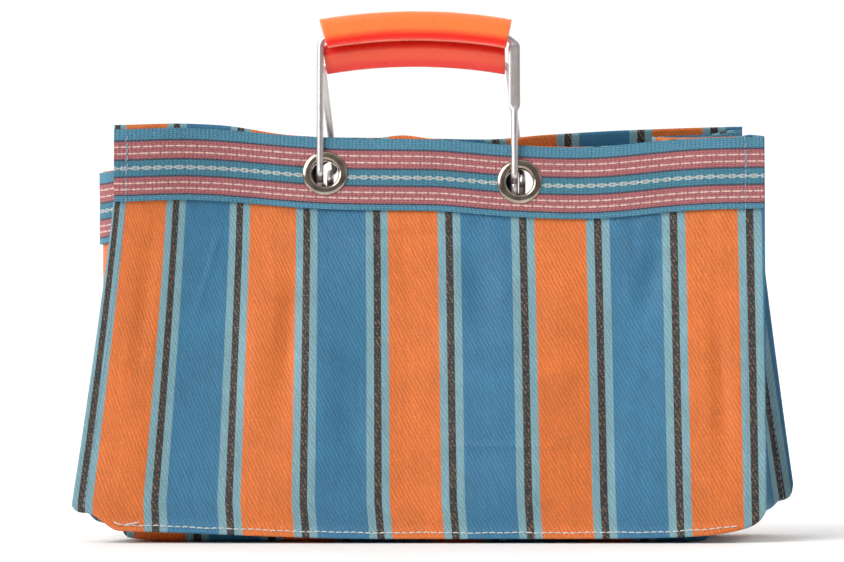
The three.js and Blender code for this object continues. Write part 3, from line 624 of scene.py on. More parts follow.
# ---- handles ----
class Bail:
    """A wire handle in its own frame: x across, z up along the lean. side is 1 in front, -1 at the back."""

    def __init__(self, wall, centre_x, side, legs, top, arch_z, grip_length, pad_leg=None):
        self.wall, self.side, self.legs, self.top = wall, side, legs, top
        self.arch_z, self.grip_length, self.pad_leg = arch_z, grip_length, pad_leg
        self.grip_shift = -0.7 if side > 0 else 0.0
        outward = np.array([0, wall.sign * math.cos(LEAN), math.sin(LEAN)])
        self.origin = np.array([centre_x, wall.sign * HALF_DEPTH_HINGE, HINGE_Z]) + outward * 0.85
        self.up = np.array([0, -wall.sign * math.sin(LEAN), math.cos(LEAN)])
        self.across = np.array([0, math.cos(LEAN), wall.sign * math.sin(LEAN)])

    def placed(self, local):
        """Points of the handle's own frame, moved to where it stands."""
        local = np.asarray(local, float)
        side = local[..., :1] * np.array([1.0, 0, 0])
        return self.origin + side + local[..., 1:2] * self.across + local[..., 2:] * self.up

    @property
    def middle(self):
        return (self.top[0] + self.top[1]) / 2

    def arch_height(self, x):
        return self.arch_z - (x - self.middle) ** 2 / (2 * ARCH_R)

    def wire_path(self):
        out, inside = -CRANK_OUT * self.side, CRANK_IN * self.side
        left, right = self.legs
        top_left, top_right = self.top
        arch_end = (top_right - top_left) / 2 - BAIL_BEND * 1.3
        corners = [
            Vector((left, inside, EYELET_RISE - TIP_LENGTH)),
            Vector((left, inside, EYELET_RISE)),
            Vector((left, out, EYELET_RISE)),
            Vector((top_left, out, self.arch_height(top_left))),
        ]
        radii = [CRANK_BEND, CRANK_BEND, BAIL_BEND]
        for x in np.linspace(self.middle - arch_end, self.middle + arch_end, 7):
            corners.append(Vector((x, out, self.arch_height(x))))
            radii.append(60)
        corners += [
            Vector((top_right, out, self.arch_height(top_right))),
            Vector((right, out, -EYELET_RISE)),
            Vector((right, inside, -EYELET_RISE)),
            Vector((right, inside, -EYELET_RISE - TIP_LENGTH)),
        ]
        radii += [BAIL_BEND, CRANK_BEND, CRANK_BEND]
        return respaced(rounded_line(corners, radii, 16), 0.8)

    def wire(self, name, material, sides=28):
        path = self.wire_path()
        from_start = run_lengths(path)
        to_end = np.minimum(from_start, from_start[-1] - from_start)
        angles = (np.arange(sides) + 0.5) * 2 * np.pi / sides
        sections, uvs = [], []
        for (tangent, side, other), at, rest, along in zip(carried_frames(path), path, to_end, from_start):
            # Both ends are tapered and rounded off.
            rounding = math.sqrt(max(0.02, 1 - max(0, 1 - rest / 2.2) ** 2))
            end = rounding * (0.8 + 0.2 * float(smooth(rest / 7)))
            width, thickness, square = WIRE_R * end, WIRE_R * end, 1.0
            if self.pad_leg is not None and abs(at[0] - self.pad_leg) < 3 and at[1] * self.side < 0:
                share = self.pad_share(at[2])
                width = lerp(width, PAD["half_width"], share)
                thickness = lerp(thickness, PAD["half_thickness"], share)
                square = lerp(1.0, 0.42, share)
            cos, sin = np.cos(angles), np.sin(angles)
            flat = np.sign(cos) * np.abs(cos) ** square
            tall = np.sign(sin) * np.abs(sin) ** square
            sections.append(at + flat[:, None] * width * side + tall[:, None] * thickness * other)
            uvs.append(np.stack([0 * angles + along, angles * WIRE_R], axis=1))
        return swept(name, self.placed(np.array(sections)), material, np.concatenate(uvs))

    @staticmethod
    def pad_share(z):
        up = smooth((z - PAD["low"] + PAD["taper"]) / PAD["taper"])
        down = smooth((PAD["high"] + PAD["taper"] - z) / PAD["taper"])
        return float(up * down)

    def grip(self, name, material, outline, slants):
        """The moulded sleeve: an outline of (out, up) points along the arch; slants tip its two ends."""
        edge = 0.9
        half = self.grip_length / 2
        ends = edge * np.array([0, 0.12, 0.35, 0.7, 1.0])
        places = np.concatenate([-half + ends, np.linspace(-half + 2.5, half - 2.5, 60), half - ends[::-1]])
        outward = unit(np.roll(outline, -1, axis=0) - np.roll(outline, 1, axis=0))
        normals = np.stack([outward[:, 1], -outward[:, 0]], axis=1)
        around = run_lengths(outline)
        sections, uvs = [], []
        for place in places:
            inset = edge - math.sqrt(max(0, edge**2 - max(0, edge - (half - abs(place))) ** 2))
            shape = outline - normals * inset * self.turning(outline)
            slant = slants[0] * hump_end(-place, half) + slants[1] * hump_end(place, half)
            angle = (place + slant * shape[:, 1]) / ARCH_R
            reach = ARCH_R + shape[:, 1]
            x = self.middle + self.grip_shift + reach * np.sin(angle)
            z = self.arch_z - ARCH_R + reach * np.cos(angle)
            y = -(CRANK_OUT + shape[:, 0]) * self.side
            sections.append(np.stack([x, y, z], axis=1))
            uvs.append(np.stack([around, shape[:, 1]], axis=1))
        return swept(name, self.placed(np.array(sections)), material, np.concatenate(uvs), "grip")

    @staticmethod
    def turning(outline):
        """1 where the outline runs anticlockwise, -1 where it runs clockwise."""
        after = np.roll(outline, -1, axis=0)
        area = (outline[:, 0] * after[:, 1] - after[:, 0] * outline[:, 1]).sum()
        return math.copysign(1, area)


def hump_end(place, half):
    """1 at the end of a grip, falling to 0 a little way along it."""
    return float(smooth(1 - (half - place) / 14))


def grip_outline(lip_low, back_low, half_width, top):
    """Section of a grip, as (out, up) points: a sleeve over the wire with two lips below, open underneath."""
    slot = WIRE_R + 0.35
    outside = [(half_width - 0.5, lip_low), (half_width + 0.3, lip_low * 0.45), (half_width + 0.1, top * 0.2)]
    outside += arc_points((0, top * 0.42), (half_width, top * 0.58), 0, 180, 14)
    outside += [(-half_width - 0.1, top * 0.2), (-half_width + 0.2, back_low * 0.45)]
    outside += [(-half_width + 0.5, back_low)]
    inside = [(-half_width + 3.2, back_low), (-slot - 0.2, back_low * 0.4)]
    inside += arc_points((0, 0), (slot, slot), 180, 0, 8)
    inside += [(slot + 0.2, lip_low * 0.4), (half_width - 3.2, lip_low)]
    return smooth_line(np.array(outside + inside), rounds=2)


# ---- stitches ----
def stitch_row(path, normals, radius, length, gap, start=0.0):
    """Sections of stitches along a path: each rises out of the cloth and dips back into it."""
    steps = run_lengths(path)
    place, rows = start, []
    while place + length < steps[-1]:
        shares = np.linspace(0, 1, 9)
        places = place + shares * length
        at = interpolated(places, steps, path)
        up = unit(interpolated(places, steps, normals))
        lift = (np.sin(np.pi * shares) ** 0.5 * 1.5 - 0.7) * radius
        rows.append((at + up * lift[:, None], up))
        place += length + gap
    return rows


def stitched(name, rows, radius, material, sides=8):
    """One piece of thread: every stitch is a small closed tube."""
    points, faces, uvs = [], [], []
    angles = np.arange(sides) * 2 * np.pi / sides
    for line, up in rows:
        tangents = unit(np.gradient(line, axis=0))
        side = unit(np.cross(tangents, up))
        across = np.cross(side, tangents)
        first = len(points)
        along = run_lengths(line)
        ends = np.minimum(np.arange(len(line)), np.arange(len(line))[::-1])
        sizes = radius * np.array([0.45, 0.85, 1.0])[np.minimum(ends, 2)]
        for i, size in enumerate(sizes):
            ring = np.cos(angles)[:, None] * side[i] + np.sin(angles)[:, None] * across[i]
            points.extend(line[i] + ring * size)
            uvs.extend(np.stack([0 * angles + along[i], angles * radius], axis=1))
        faces += tube_faces(len(line), sides, first)
    return new_mesh(name, points, faces, material, uvs, "thread")


def seam_path(wall, us, zs, height):
    """Points beside a wall at a height off its middle (negative is inside), with the way they face."""
    points = wall.point(us, zs)
    step = 0.5
    along = wall.point(us + step / 480, zs) - wall.point(us - step / 480, zs)
    up = wall.point(us, zs + step) - wall.point(us, zs - step)
    outward = unit(np.cross(along, up)) * -wall.sign
    return points + outward * np.asarray(height)[..., None], outward


# ---- materials ----
def srgb(red, green, blue):
    """A colour given as it looks on a screen (0 to 255), as linear light."""
    parts = [value / 255 for value in (red, green, blue)]
    return tuple(p / 12.92 if p <= 0.04045 else ((p + 0.055) / 1.055) ** 2.4 for p in parts) + (1.0,)


class Look:
    """A node material, built up socket by socket. A value is a number, a colour or another node's socket."""

    def __init__(self, name, **inputs):
        self.material = bpy.data.materials.new(name)
        self.material.use_nodes = True
        self.tree = self.material.node_tree
        self.tree.nodes.clear()
        self.shader = self.tree.nodes.new("ShaderNodeBsdfPrincipled")
        output = self.tree.nodes.new("ShaderNodeOutputMaterial")
        self.tree.links.new(self.shader.outputs["BSDF"], output.inputs["Surface"])
        for socket, value in inputs.items():
            self.set(socket.replace("_", " "), value)

    def set(self, socket, value):
        self.put(self.shader.inputs[socket], value)

    def put(self, socket, value):
        if isinstance(value, bpy.types.NodeSocket):
            self.tree.links.new(value, socket)
        else:
            socket.default_value = value

    def node(self, kind, values=(), **settings):
        node = self.tree.nodes.new(kind)
        for key, value in settings.items():
            setattr(node, key, value)
        for socket, value in dict(values).items():
            self.put(node.inputs[socket], value)
        return node

    def math(self, operation, *values):
        return self.node("ShaderNodeMath", enumerate(values), operation=operation).outputs[0]

    def vector(self, operation, *values):
        return self.node("ShaderNodeVectorMath", enumerate(values), operation=operation).outputs[0]

    def scaled(self, value, scale, shift):
        return self.math("MULTIPLY_ADD", value, scale, shift)

    def vary(self, shade, value, amount):
        """A shade made lighter where the value is above its middle and darker where it is below."""
        return self.scaled(self.math("SUBTRACT", value, 0.5), amount, shade)

    def add(self, a, b):
        return self.math("ADD", a, b)

    def times(self, a, b):
        return self.math("MULTIPLY", a, b)

    def wave(self, value, period, shift=0.0):
        """From 0 to 1 and back over each period."""
        turned = self.math("MULTIPLY_ADD", value, 2 * math.pi / period, shift)
        return self.math("MULTIPLY_ADD", self.math("SINE", turned), 0.5, 0.5)

    def ramp(self, value, low, high, from_value=0.0, to_value=1.0):
        """from_value at low, to_value at high, straight between and flat outside."""
        values = {"Value": value, "From Min": low, "From Max": high, "To Min": from_value, "To Max": to_value}
        return self.node("ShaderNodeMapRange", values, clamp=True).outputs["Result"]

    def near(self, value, centre, half, soft):
        """1 within half of the centre, 0 outside it."""
        away = self.math("ABSOLUTE", self.math("SUBTRACT", value, centre))
        return self.ramp(away, self.add(half, soft), self.math("SUBTRACT", half, soft))

    def mix(self, share, a, b, blend="MIX"):
        node = self.node("ShaderNodeMix", data_type="RGBA", blend_type=blend)
        for index, value in ((0, share), (6, a), (7, b)):
            self.put(node.inputs[index], value)
        return node.outputs[2]

    def shade(self, colour, value):
        """A colour made lighter or darker by a factor."""
        return self.node("ShaderNodeVectorMath", {0: colour, 3: value}, operation="SCALE").outputs[0]

    def uv(self, name):
        source = self.node("ShaderNodeUVMap", uv_map=name).outputs["UV"]
        parts = self.node("ShaderNodeSeparateXYZ", {0: source}).outputs
        return source, parts["X"], parts["Y"]

    def place(self):
        return self.node("ShaderNodeTexCoord").outputs["Object"]

    def noise(self, vector, scale, detail=2.0, roughness=0.5):
        values = {"Vector": vector, "Scale": scale, "Detail": detail, "Roughness": roughness}
        return self.node("ShaderNodeTexNoise", values).outputs["Fac"]

    def bump(self, height, distance, strength=1.0):
        values = {"Height": height, "Distance": distance, "Strength": strength}
        self.set("Normal", self.node("ShaderNodeBump", values).outputs["Normal"])


ORANGE = srgb(214, 110, 44)
BLUE = srgb(50, 113, 149)
PALE_BLUE = srgb(118, 158, 169)
DARK = srgb(38, 37, 38)
SPECK = srgb(158, 128, 104)
DARK_HALF = 2.6  # half width of a dark stripe
PALE_HALF = 8.1  # to the outside of the pale stripes beside it
THREAD_PITCH = 0.95
TWILL_STEP = 5.7  # of twice the way across plus the way up


def woven_look():
    """Striped plastic weave: fine flat filaments in a steep twill that comes and goes, with painted highlight
    glints on its ridges.
    """
    look = Look("woven_stripes", Specular_IOR_Level=0.5)
    source, across, up = look.uv("cloth")
    wobble = look.scaled(look.noise(source, 0.9, 1.0), 0.7, -0.35)
    stripe = look.math("DIVIDE", look.add(across, wobble), HALF_REPEAT)
    from_dark = look.math("ABSOLUTE", look.math("SUBTRACT", look.math("FRACT", look.add(stripe, 0.5)), 0.5))
    from_dark = look.times(from_dark, HALF_REPEAT)
    is_orange = look.math("LESS_THAN", look.math("FRACT", look.times(stripe, 0.5)), 0.5)
    colour = look.mix(is_orange, BLUE, ORANGE)
    colour = look.mix(look.ramp(from_dark, PALE_HALF + 0.2, PALE_HALF - 0.2), colour, PALE_BLUE)
    dark = look.ramp(from_dark, DARK_HALF + 0.2, DARK_HALF - 0.2)
    colour = look.mix(dark, colour, DARK)

    slope = look.add(look.times(across, 2.0), up)
    drift = look.scaled(look.noise(source, 0.11, 2.0), 4.0, slope)
    twill = look.wave(drift, TWILL_STEP)
    warp = look.wave(across, THREAD_PITCH)
    weft = look.wave(up, THREAD_PITCH)
    cell = look.vector("DIVIDE", source, (THREAD_PITCH,) * 3)
    cell = look.vector("FLOOR", cell)
    chance = look.node("ShaderNodeTexWhiteNoise", {"Vector": cell}, noise_dimensions="2D").outputs["Value"]
    # Streaks run along the twill and along the warp.
    slanted = {0: look.times(slope, 0.42), 1: look.times(up, 0.055)}
    slanted = look.node("ShaderNodeCombineXYZ", slanted).outputs[0]
    strands = look.noise(slanted, 1.0, 2.0, 0.6)
    upright = look.vector("MULTIPLY", source, (0.5, 0.012, 1))
    zone = look.ramp(look.noise(source, 0.028, 2.0), 0.32, 0.68)
    relief = look.ramp(zone, 0, 1, 0.05, 0.24)
    shade = look.vary(0.99, twill, relief)
    for value, amount in (
        (strands, 0.5),
        (weft, 0.07),
        (chance, 0.14),
        (look.noise(source, 1.3, 2.0, 0.7), 0.34),
        (look.noise(source, 0.05, 3.0), 0.34),
        (look.noise(source, 0.014, 2.0), 0.36),
        (look.noise(upright, 1.0, 2.0), 0.26),
    ):
        shade = look.vary(shade, value, amount)
    colour = look.shade(colour, shade)
    # Painted glints: lighter specks on the twill's ridges stand in for highlights on the filaments.
    painted_glint = look.times(look.ramp(chance, 0.9, 0.99), look.ramp(twill, 0.4, 0.9))
    colour = look.mix(look.times(painted_glint, 0.5), colour, look.shade(colour, 1.35))
    specks = look.times(look.ramp(chance, 0.5, 0.85), look.ramp(twill, 0.1, 0.7))
    colour = look.mix(look.times(look.times(specks, dark), 0.5), colour, SPECK)
    look.set("Base Color", colour)
    look.set("Roughness", look.scaled(twill, -0.12, 0.52))
    height = look.add(look.times(twill, 0.5), look.add(look.times(warp, 0.24), look.times(weft, 0.3)))
    height = look.add(height, look.add(look.times(chance, 0.16), look.times(strands, 0.8)))
    look.bump(height, 0.00026)
    return look.material


TAPE_BLUE = srgb(65, 122, 143)
TAPE_EDGE = srgb(77, 133, 158)
TAPE_RED = srgb(165, 98, 102)
TAPE_NAVY = srgb(62, 62, 78)
TAPE_CREAM = srgb(222, 186, 178)
TAPE_WHITE = srgb(190, 196, 194)
RED_BANDS = ((8.2, 20.9), (33.2, 45.6))  # from the upper edge of the webbing down
NAVY_LINES = (7.9, 21.2, 33.1, 45.8)
DASH_LINES = (12.1, 16.8, 37.6, 41.8)
CHAIN_LINE = 27.1
DASH_STEP = 7.6
YARN = 1.5
RIB = 2.8


def webbing_look():
    """Striped webbing: lengthwise yarns over ribs, with rows of cream floats and one white chain."""
    look = Look("striped_webbing", Specular_IOR_Level=0.35)
    source, along, down = look.uv("cloth")
    wobble = look.scaled(look.noise(source, 0.6, 2.0), 0.9, -0.45)
    down = look.add(down, wobble)
    middle = look.near(down, TAPE_WIDTH / 2, TAPE_WIDTH / 2 - 8, 0.6)
    colour = look.mix(middle, TAPE_EDGE, TAPE_BLUE)
    for low, high in RED_BANDS:
        colour = look.mix(look.near(down, (low + high) / 2, (high - low) / 2, 0.25), colour, TAPE_RED)
    rib = look.wave(along, RIB, 0.4)
    for line in NAVY_LINES:
        half = look.ramp(rib, 0.0, 1.0, 0.35, 0.75)
        colour = look.mix(look.near(down, line, half, 0.3), colour, TAPE_NAVY)
    raised = 0.0
    for i, line in enumerate(DASH_LINES):
        float_shape = look.wave(along, DASH_STEP, 2.1 * i)
        half = look.ramp(float_shape, 0.0, 0.25, 0.3, 0.62)
        dash = look.near(down, line, half, 0.22)
        colour = look.mix(look.times(dash, 0.9), colour, TAPE_CREAM)
        notch = look.times(look.ramp(float_shape, 0.06, 0.0), look.near(down, line, 0.4, 0.3))
        colour = look.mix(look.times(notch, 0.6), colour, TAPE_NAVY)
        raised = look.add(raised, dash)
    link = look.wave(along, DASH_STEP, 0.6)
    chain = look.near(down, CHAIN_LINE, look.ramp(link, 0.0, 0.5, 0.45, 1.35), 0.25)
    eye = look.times(look.ramp(link, 0.45, 0.75), look.near(down, CHAIN_LINE, 0.3, 0.3))
    colour = look.mix(look.times(chain, 0.85), colour, TAPE_WHITE)
    colour = look.mix(look.times(eye, 0.7), colour, TAPE_NAVY)
    raised = look.add(raised, chain)

    yarn = look.wave(down, YARN, 0.8)
    twist = look.wave(look.scaled(down, 1.6, along), 2.3)
    fibre = look.noise(look.vector("MULTIPLY", source, (0.45, 2.2, 1)), 1.0, 3.0, 0.65)
    tuft = look.noise(source, 1.1, 2.0, 0.7)
    shade = look.vary(1.0, yarn, 0.34)
    for value, amount in (
        (twist, 0.14),
        (rib, 0.26),
        (fibre, 1.1),
        (tuft, 0.7),
        (look.noise(source, 0.03, 2.0), 0.3),
    ):
        shade = look.vary(shade, value, amount)
    look.set("Base Color", look.shade(colour, shade))
    look.set("Roughness", look.scaled(yarn, -0.12, 0.7))
    height = look.add(look.times(yarn, 0.7), look.add(look.times(twist, 0.3), look.times(rib, 0.55)))
    height = look.add(height, look.times(raised, 0.45))
    look.bump(look.add(height, look.add(look.times(fibre, 0.7), look.times(tuft, 0.6))), 0.0004)
    return look.material


def nickel_look():
    """Pressed nickel, a little warm, with soft dull patches."""
    look = Look("pressed_nickel", Metallic=1.0)
    place = look.place()
    patches = look.noise(place, 120.0, 2.0)
    colour = look.mix(look.ramp(patches, 0.35, 0.7), srgb(146, 132, 118), srgb(190, 177, 163))
    look.set("Base Color", colour)
    look.set("Roughness", look.scaled(patches, 0.12, 0.1))
    look.bump(look.add(patches, look.times(look.noise(place, 900.0, 2.0), 0.03)), 0.00012)
    return look.material


def wire_look():
    """Drawn steel wire, plated and slightly dull, with fine marks along it."""
    look = Look("plated_wire", Metallic=0.9)
    source, _, _ = look.uv("metal")
    fine = look.noise(look.vector("MULTIPLY", source, (0.15, 4.0, 1)), 1.0, 3.0)
    patches = look.noise(source, 0.12, 2.0)
    look.set("Base Color", look.mix(patches, srgb(196, 190, 188), srgb(224, 220, 219)))
    look.set("Roughness", look.scaled(fine, 0.22, 0.24))
    look.bump(look.add(fine, look.times(patches, 0.6)), 0.00005)
    return look.material


# The grips' light and shade are painted into their colour: the red is painted shade on the orange vinyl, the
# scarlet a painted highlight band, and the lip colour a painted highlight along a lip's edge.
GRIP_ORANGE = srgb(242, 126, 62)
GRIP_PAINTED_HIGHLIGHT_SCARLET = srgb(242, 76, 36)
GRIP_PAINTED_SHADE_RED = srgb(238, 42, 26)
GRIP_PAINTED_LIP_HIGHLIGHT = srgb(246, 122, 98)
# The front grip is orange above and painted shade red in its lower part, with a painted highlight on its lip.
FRONT_GRIP_PAINTED_LIGHT_BANDS = ((0.5, GRIP_ORANGE), (-4.5, GRIP_PAINTED_SHADE_RED), (-7.6, GRIP_PAINTED_SHADE_RED), (-8.4, GRIP_PAINTED_LIP_HIGHLIGHT))
# The rear grip is painted shaded red at its top, under the front grip's lip, with a lighter scarlet band
# across its middle as a painted highlight, red shade again below and a painted highlight on its lip.
REAR_GRIP_PAINTED_LIGHT_BANDS = (
    (9.0, GRIP_PAINTED_SHADE_RED), (6.0, GRIP_PAINTED_HIGHLIGHT_SCARLET), (1.0, GRIP_PAINTED_HIGHLIGHT_SCARLET),
    (-2.5, GRIP_PAINTED_SHADE_RED), (-5.3, GRIP_PAINTED_SHADE_RED), (-6.1, GRIP_PAINTED_LIP_HIGHLIGHT),
)


def grip_look(name, bands):
    """Glossy vinyl with light and shade painted in bands: (height, colour) pairs from the top down that run
    into each other.
    """
    values = {"Subsurface_Weight": 0.1, "Subsurface_Scale": 0.002, "Coat_Weight": 0.3, "Coat_Roughness": 0.14}
    look = Look(name, IOR=1.5, **values)
    look.set("Subsurface Radius", (1.0, 0.35, 0.2))
    source, _, height = look.uv("grip")
    place = look.place()
    height = look.add(height, look.scaled(look.noise(place, 30.0, 2.0), 2.0, -1.0))
    # Each band is a painted light or shade colour, blended by height on the grip's section.
    colour = bands[0][1]
    for (above, _), (below, next_colour) in zip(bands, bands[1:]):
        colour = look.mix(look.ramp(height, above, below), colour, next_colour)
    look.set("Base Color", colour)
    waves = look.noise(place, 90.0, 2.0)
    look.set("Roughness", look.scaled(waves, 0.14, 0.22))
    look.bump(look.add(waves, look.times(look.noise(place, 1400.0, 2.0), 0.02)), 0.00025)
    return look.material


def thread_look(name, hollow_shade, crest):
    """Sewing thread with a visible twist: painted shade in the twist's hollows and a painted highlight on its
    crests.
    """
    look = Look(name, Specular_IOR_Level=0.3)
    source, along, around = look.uv("thread")
    strand = look.wave(look.add(along, look.times(around, 1.2)), 0.7)
    # The colour runs from painted shade in the hollows to a painted highlight on the crests of the twist.
    look.set("Base Color", look.mix(strand, hollow_shade, crest))
    look.set("Roughness", look.scaled(strand, -0.1, 0.8))
    look.bump(strand, 0.0001)
    return look.material


def studio_look():
    look = Look("studio_floor", Specular_IOR_Level=0.1)
    soft = look.noise(look.place(), 1.5, 2.0)
    look.set("Base Color", look.mix(soft, srgb(243, 243, 242), srgb(247, 247, 247)))
    look.set("Roughness", look.scaled(soft, 0.1, 0.85))
    return look.material


CLOTH_LOOK = woven_look()
TAPE_LOOK = webbing_look()
NICKEL_LOOK = nickel_look()
WIRE_LOOK = wire_look()
# The two grips are one vinyl in two copies with different painted light and shade.
FRONT_GRIP_PAINTED_LIGHT_LOOK = grip_look("front_grip_vinyl", FRONT_GRIP_PAINTED_LIGHT_BANDS)
REAR_GRIP_PAINTED_LIGHT_LOOK = grip_look("rear_grip_vinyl", REAR_GRIP_PAINTED_LIGHT_BANDS)
HEM_THREAD_LOOK = thread_look("hem_thread", srgb(196, 198, 196), srgb(240, 240, 236))
SEAM_THREAD_LOOK = thread_look("corner_seam_thread", srgb(122, 146, 168), srgb(164, 184, 202))


# ---- cloth pieces ----
def edge_shares(count, crowding):
    """Shares from 0 to 1 that stand closer together at both ends."""
    t = np.linspace(0, 1, count)
    return t - crowding * np.sin(2 * np.pi * t)


def eyelet_frames(wall):
    """Centre and outward axis of the wall's two eyelets."""
    axis = np.array([0, wall.sign * math.cos(LEAN), math.sin(LEAN)])
    frames = []
    for end in (-1, 1):
        z = HINGE_Z - end * EYELET_RISE * math.cos(LEAN)
        x = HANDLE_X[wall.name] + end * EYELET_SPAN / 2
        frames.append((np.array([x, wall.sign * half_depth(z), z]), axis))
    return frames


def eyelet_holes(wall):
    """The cloth is cut a little wider than the barrels."""
    radius = EYELET_HOLE_R + EYELET_WALL + 0.3
    return [Hole(centre, axis, radius) for centre, axis in eyelet_frames(wall)]


def make_wall(wall):
    u = edge_shares(231, 0.03)[None, :]
    v = np.linspace(0, 1, 145)[:, None]
    z = lerp(wall.low_edge(u), wall.cloth_top(u), v)
    u = u + 0 * z
    uvs = stack(wall.stripe_mm(u, z), z * 1.02)
    piece = shell(f"{wall.name}_cloth", wall.point(u, z), uvs, CLOTH, CLOTH_LOOK, holes=eyelet_holes(wall))
    finish_piece(piece, "bag", [f"{wall.name}_panel"])
    return piece


def make_wall_tape(wall):
    u = edge_shares(321, 0.03)[None, :]
    v = np.linspace(0, 1, 61)[:, None]
    top = wall.tape_top(u)
    z = top - TAPE_WIDTH * (1 - v)
    u = u + 0 * z
    down = TAPE_WIDTH * (1 - v) + 0 * u
    uvs = stack(wall.x(u, z), down)
    args = (f"{wall.name}_tape", wall.point(u, z), uvs, tape_thickness(down), TAPE_LOOK)
    piece = shell(*args, shift=-wall.sign * TAPE_OFFSET, holes=eyelet_holes(wall))
    finish_piece(piece, "bag", [f"{wall.name}_webbing"])
    return piece


def tape_thickness(down):
    """The webbing's section: a bead on each edge and a groove between its coloured bands."""
    thick = TAPE - 0.25 * sum(hump((down - line) / 1.1) for line in NAVY_LINES)
    edges = hump(down / 1.6) + hump((TAPE_WIDTH - down) / 1.6)
    rows = sum(hump((down - line) / 1.2) for line in (*DASH_LINES, CHAIN_LINE))
    return thick + 0.3 * edges + 0.16 * rows


GUSSET_STRIPE_INSET = 12.6  # from a gusset's rear edge to its last dark stripe, with blue on both sides


def make_gusset(gusset):
    q = edge_shares(121, 0.02)[None, :]
    v = np.linspace(0, 1, 135)[:, None]
    z = lerp(gusset.edge(q), gusset.tape_top(q) + 1, v)
    points = gusset.point(q, z)
    lengths = np.linalg.norm(np.diff(points, axis=1), axis=-1)
    from_back = np.flip(np.cumsum(np.flip(np.pad(lengths, ((0, 0), (0, 1))), axis=1), axis=1), axis=1)
    uvs = stack(-np.abs(from_back - GUSSET_STRIPE_INSET), z * 1.02)
    piece = shell(f"{gusset.name}_side_cloth", points, uvs, CLOTH, CLOTH_LOOK)
    finish_piece(piece, "bag", [f"{gusset.name}_gusset"])

    v = np.linspace(0, 1, 61)[:, None]
    down = TAPE_WIDTH * (1 - v) + 0 * q
    points = gusset.point(q, gusset.tape_top(q) - down)
    steps = np.diff(points, axis=1, prepend=points[:, :1])
    uvs = stack(np.cumsum(np.linalg.norm(steps, axis=-1), axis=1), down)
    args = (f"{gusset.name}_side_tape", points, uvs, tape_thickness(down), TAPE_LOOK)
    piece = shell(*args, shift=gusset.sign * GUSSET_TAPE_OFFSET)
    finish_piece(piece, "bag", [f"{gusset.name}_webbing"])


BASE_FIRST_STRIPE = -219.8


def make_base():
    a = edge_shares(201, 0.03)[None, :]
    b = edge_shares(91, 0.06)[:, None]
    points = base_point(a + 0 * b, b + 0 * a)
    stripes = points[..., 0] - BASE_FIRST_STRIPE
    piece = shell("base_cloth", points, stack(stripes, points[..., 1] + 300), CLOTH, CLOTH_LOOK)
    finish_piece(piece, "bag", ["base_panel"])
    return piece


# ---- eyelets ----
FLANGE_FOOT = TAPE_OFFSET + TAPE / 2 + 0.08
CREST_R = 11.9


def make_eyelets(wall):
    crest = FLANGE_FOOT + 0.15
    outside = EYELET_HOLE_R + EYELET_WALL
    outline = arc_points((CREST_R, crest), (CREST_R - EYELET_HOLE_R, EYELET_DOME - 0.3), 180, 90, 12)
    outline += arc_points((CREST_R, crest), (EYELET_R - CREST_R, EYELET_DOME - 0.3), 88, 6, 14)
    outline += [(EYELET_R, FLANGE_FOOT + 0.12), (EYELET_R - 0.25, FLANGE_FOOT), (outside + 0.1, FLANGE_FOOT)]
    outline += [(outside, FLANGE_FOOT - 0.2), (outside, -1.25), (outside + 0.25, -1.45)]
    outline += arc_points((outside + 1.0, -2.0), (0.55, 0.5), 90, -90, 6)
    outline += arc_points((outside + 0.7, -1.7), (outside + 0.7 - EYELET_HOLE_R, 1.0), 270, 180, 6)
    outline += [(EYELET_HOLE_R, -0.6), (EYELET_HOLE_R, 0.9)]
    ring = [(EYELET_HOLE_R + 1.35, -0.55), (EYELET_HOLE_R + 1.25, -1.05), (EYELET_R - 1.2, -1.2)]
    ring += [(EYELET_R - 0.7, -0.85), (EYELET_R - 0.65, -0.6), (EYELET_R - 1.1, -0.45)]
    for end, frame_of in zip(("left", "right"), eyelet_frames(wall)):
        piece = spun(f"{wall.name}_{end}_grommet", outline, frame_of, NICKEL_LOOK)
        finish_piece(piece, "bag", [f"{wall.name}_{end}_eyelet"])
        piece = spun(f"{wall.name}_{end}_grommet_washer", smooth_line(ring), frame_of, NICKEL_LOOK)
        finish_piece(piece, "bag", [f"{wall.name}_{end}_washer"])


# ---- threads ----
THREAD_R = 0.32
STITCH = 3.4
STITCH_GAP = 1.3
HEM_THREAD_R = 0.5
HEM_STITCH = 4.6
HEM_GAP = 0.5
SEAM_INSET = 8.4
WIDE_SEAM_INSET = 13.5


def both_faces(wall, us, zs, outer, radius=THREAD_R, length=STITCH, gap=STITCH_GAP):
    """Rows of stitches on the outside of a seam and on the cloth behind it."""
    rows = []
    behind = np.full(len(us), -(SEAM_LAYER + CLOTH / 2))
    for height, turn, start in ((outer, 1, 0.0), (behind, -1, 1.0)):
        path, outward = seam_path(wall, us, zs, height)
        rows += stitch_row(path, outward * turn, radius, length, gap, start)
    return rows


def corner_rows(wall, inset, at_right, shift=0.0, span=(24, 286)):
    zs = np.linspace(*span, 220)
    xs = wall.right_x(zs) - inset + shift if at_right else wall.left_x(zs) + inset + shift
    us = wall.share(xs, zs)
    on_tape = smooth((zs - (wall.tape_top(us) - TAPE_WIDTH - 3)) / 3)
    return both_faces(wall, us, zs, lerp(CLOTH / 2, TAPE_OFFSET + TAPE / 2, on_tape))


def loose_end(start, turns):
    """A short curl of thread hanging from a seam's end."""
    steps = np.linspace(0, 1, 9)
    curl = np.stack([turns[0] * steps, -0.9 * np.sin(3 * steps), turns[1] * steps**2], axis=1)
    return np.array(start) + curl, np.tile([0.0, -1.0, 0.0], (len(steps), 1))


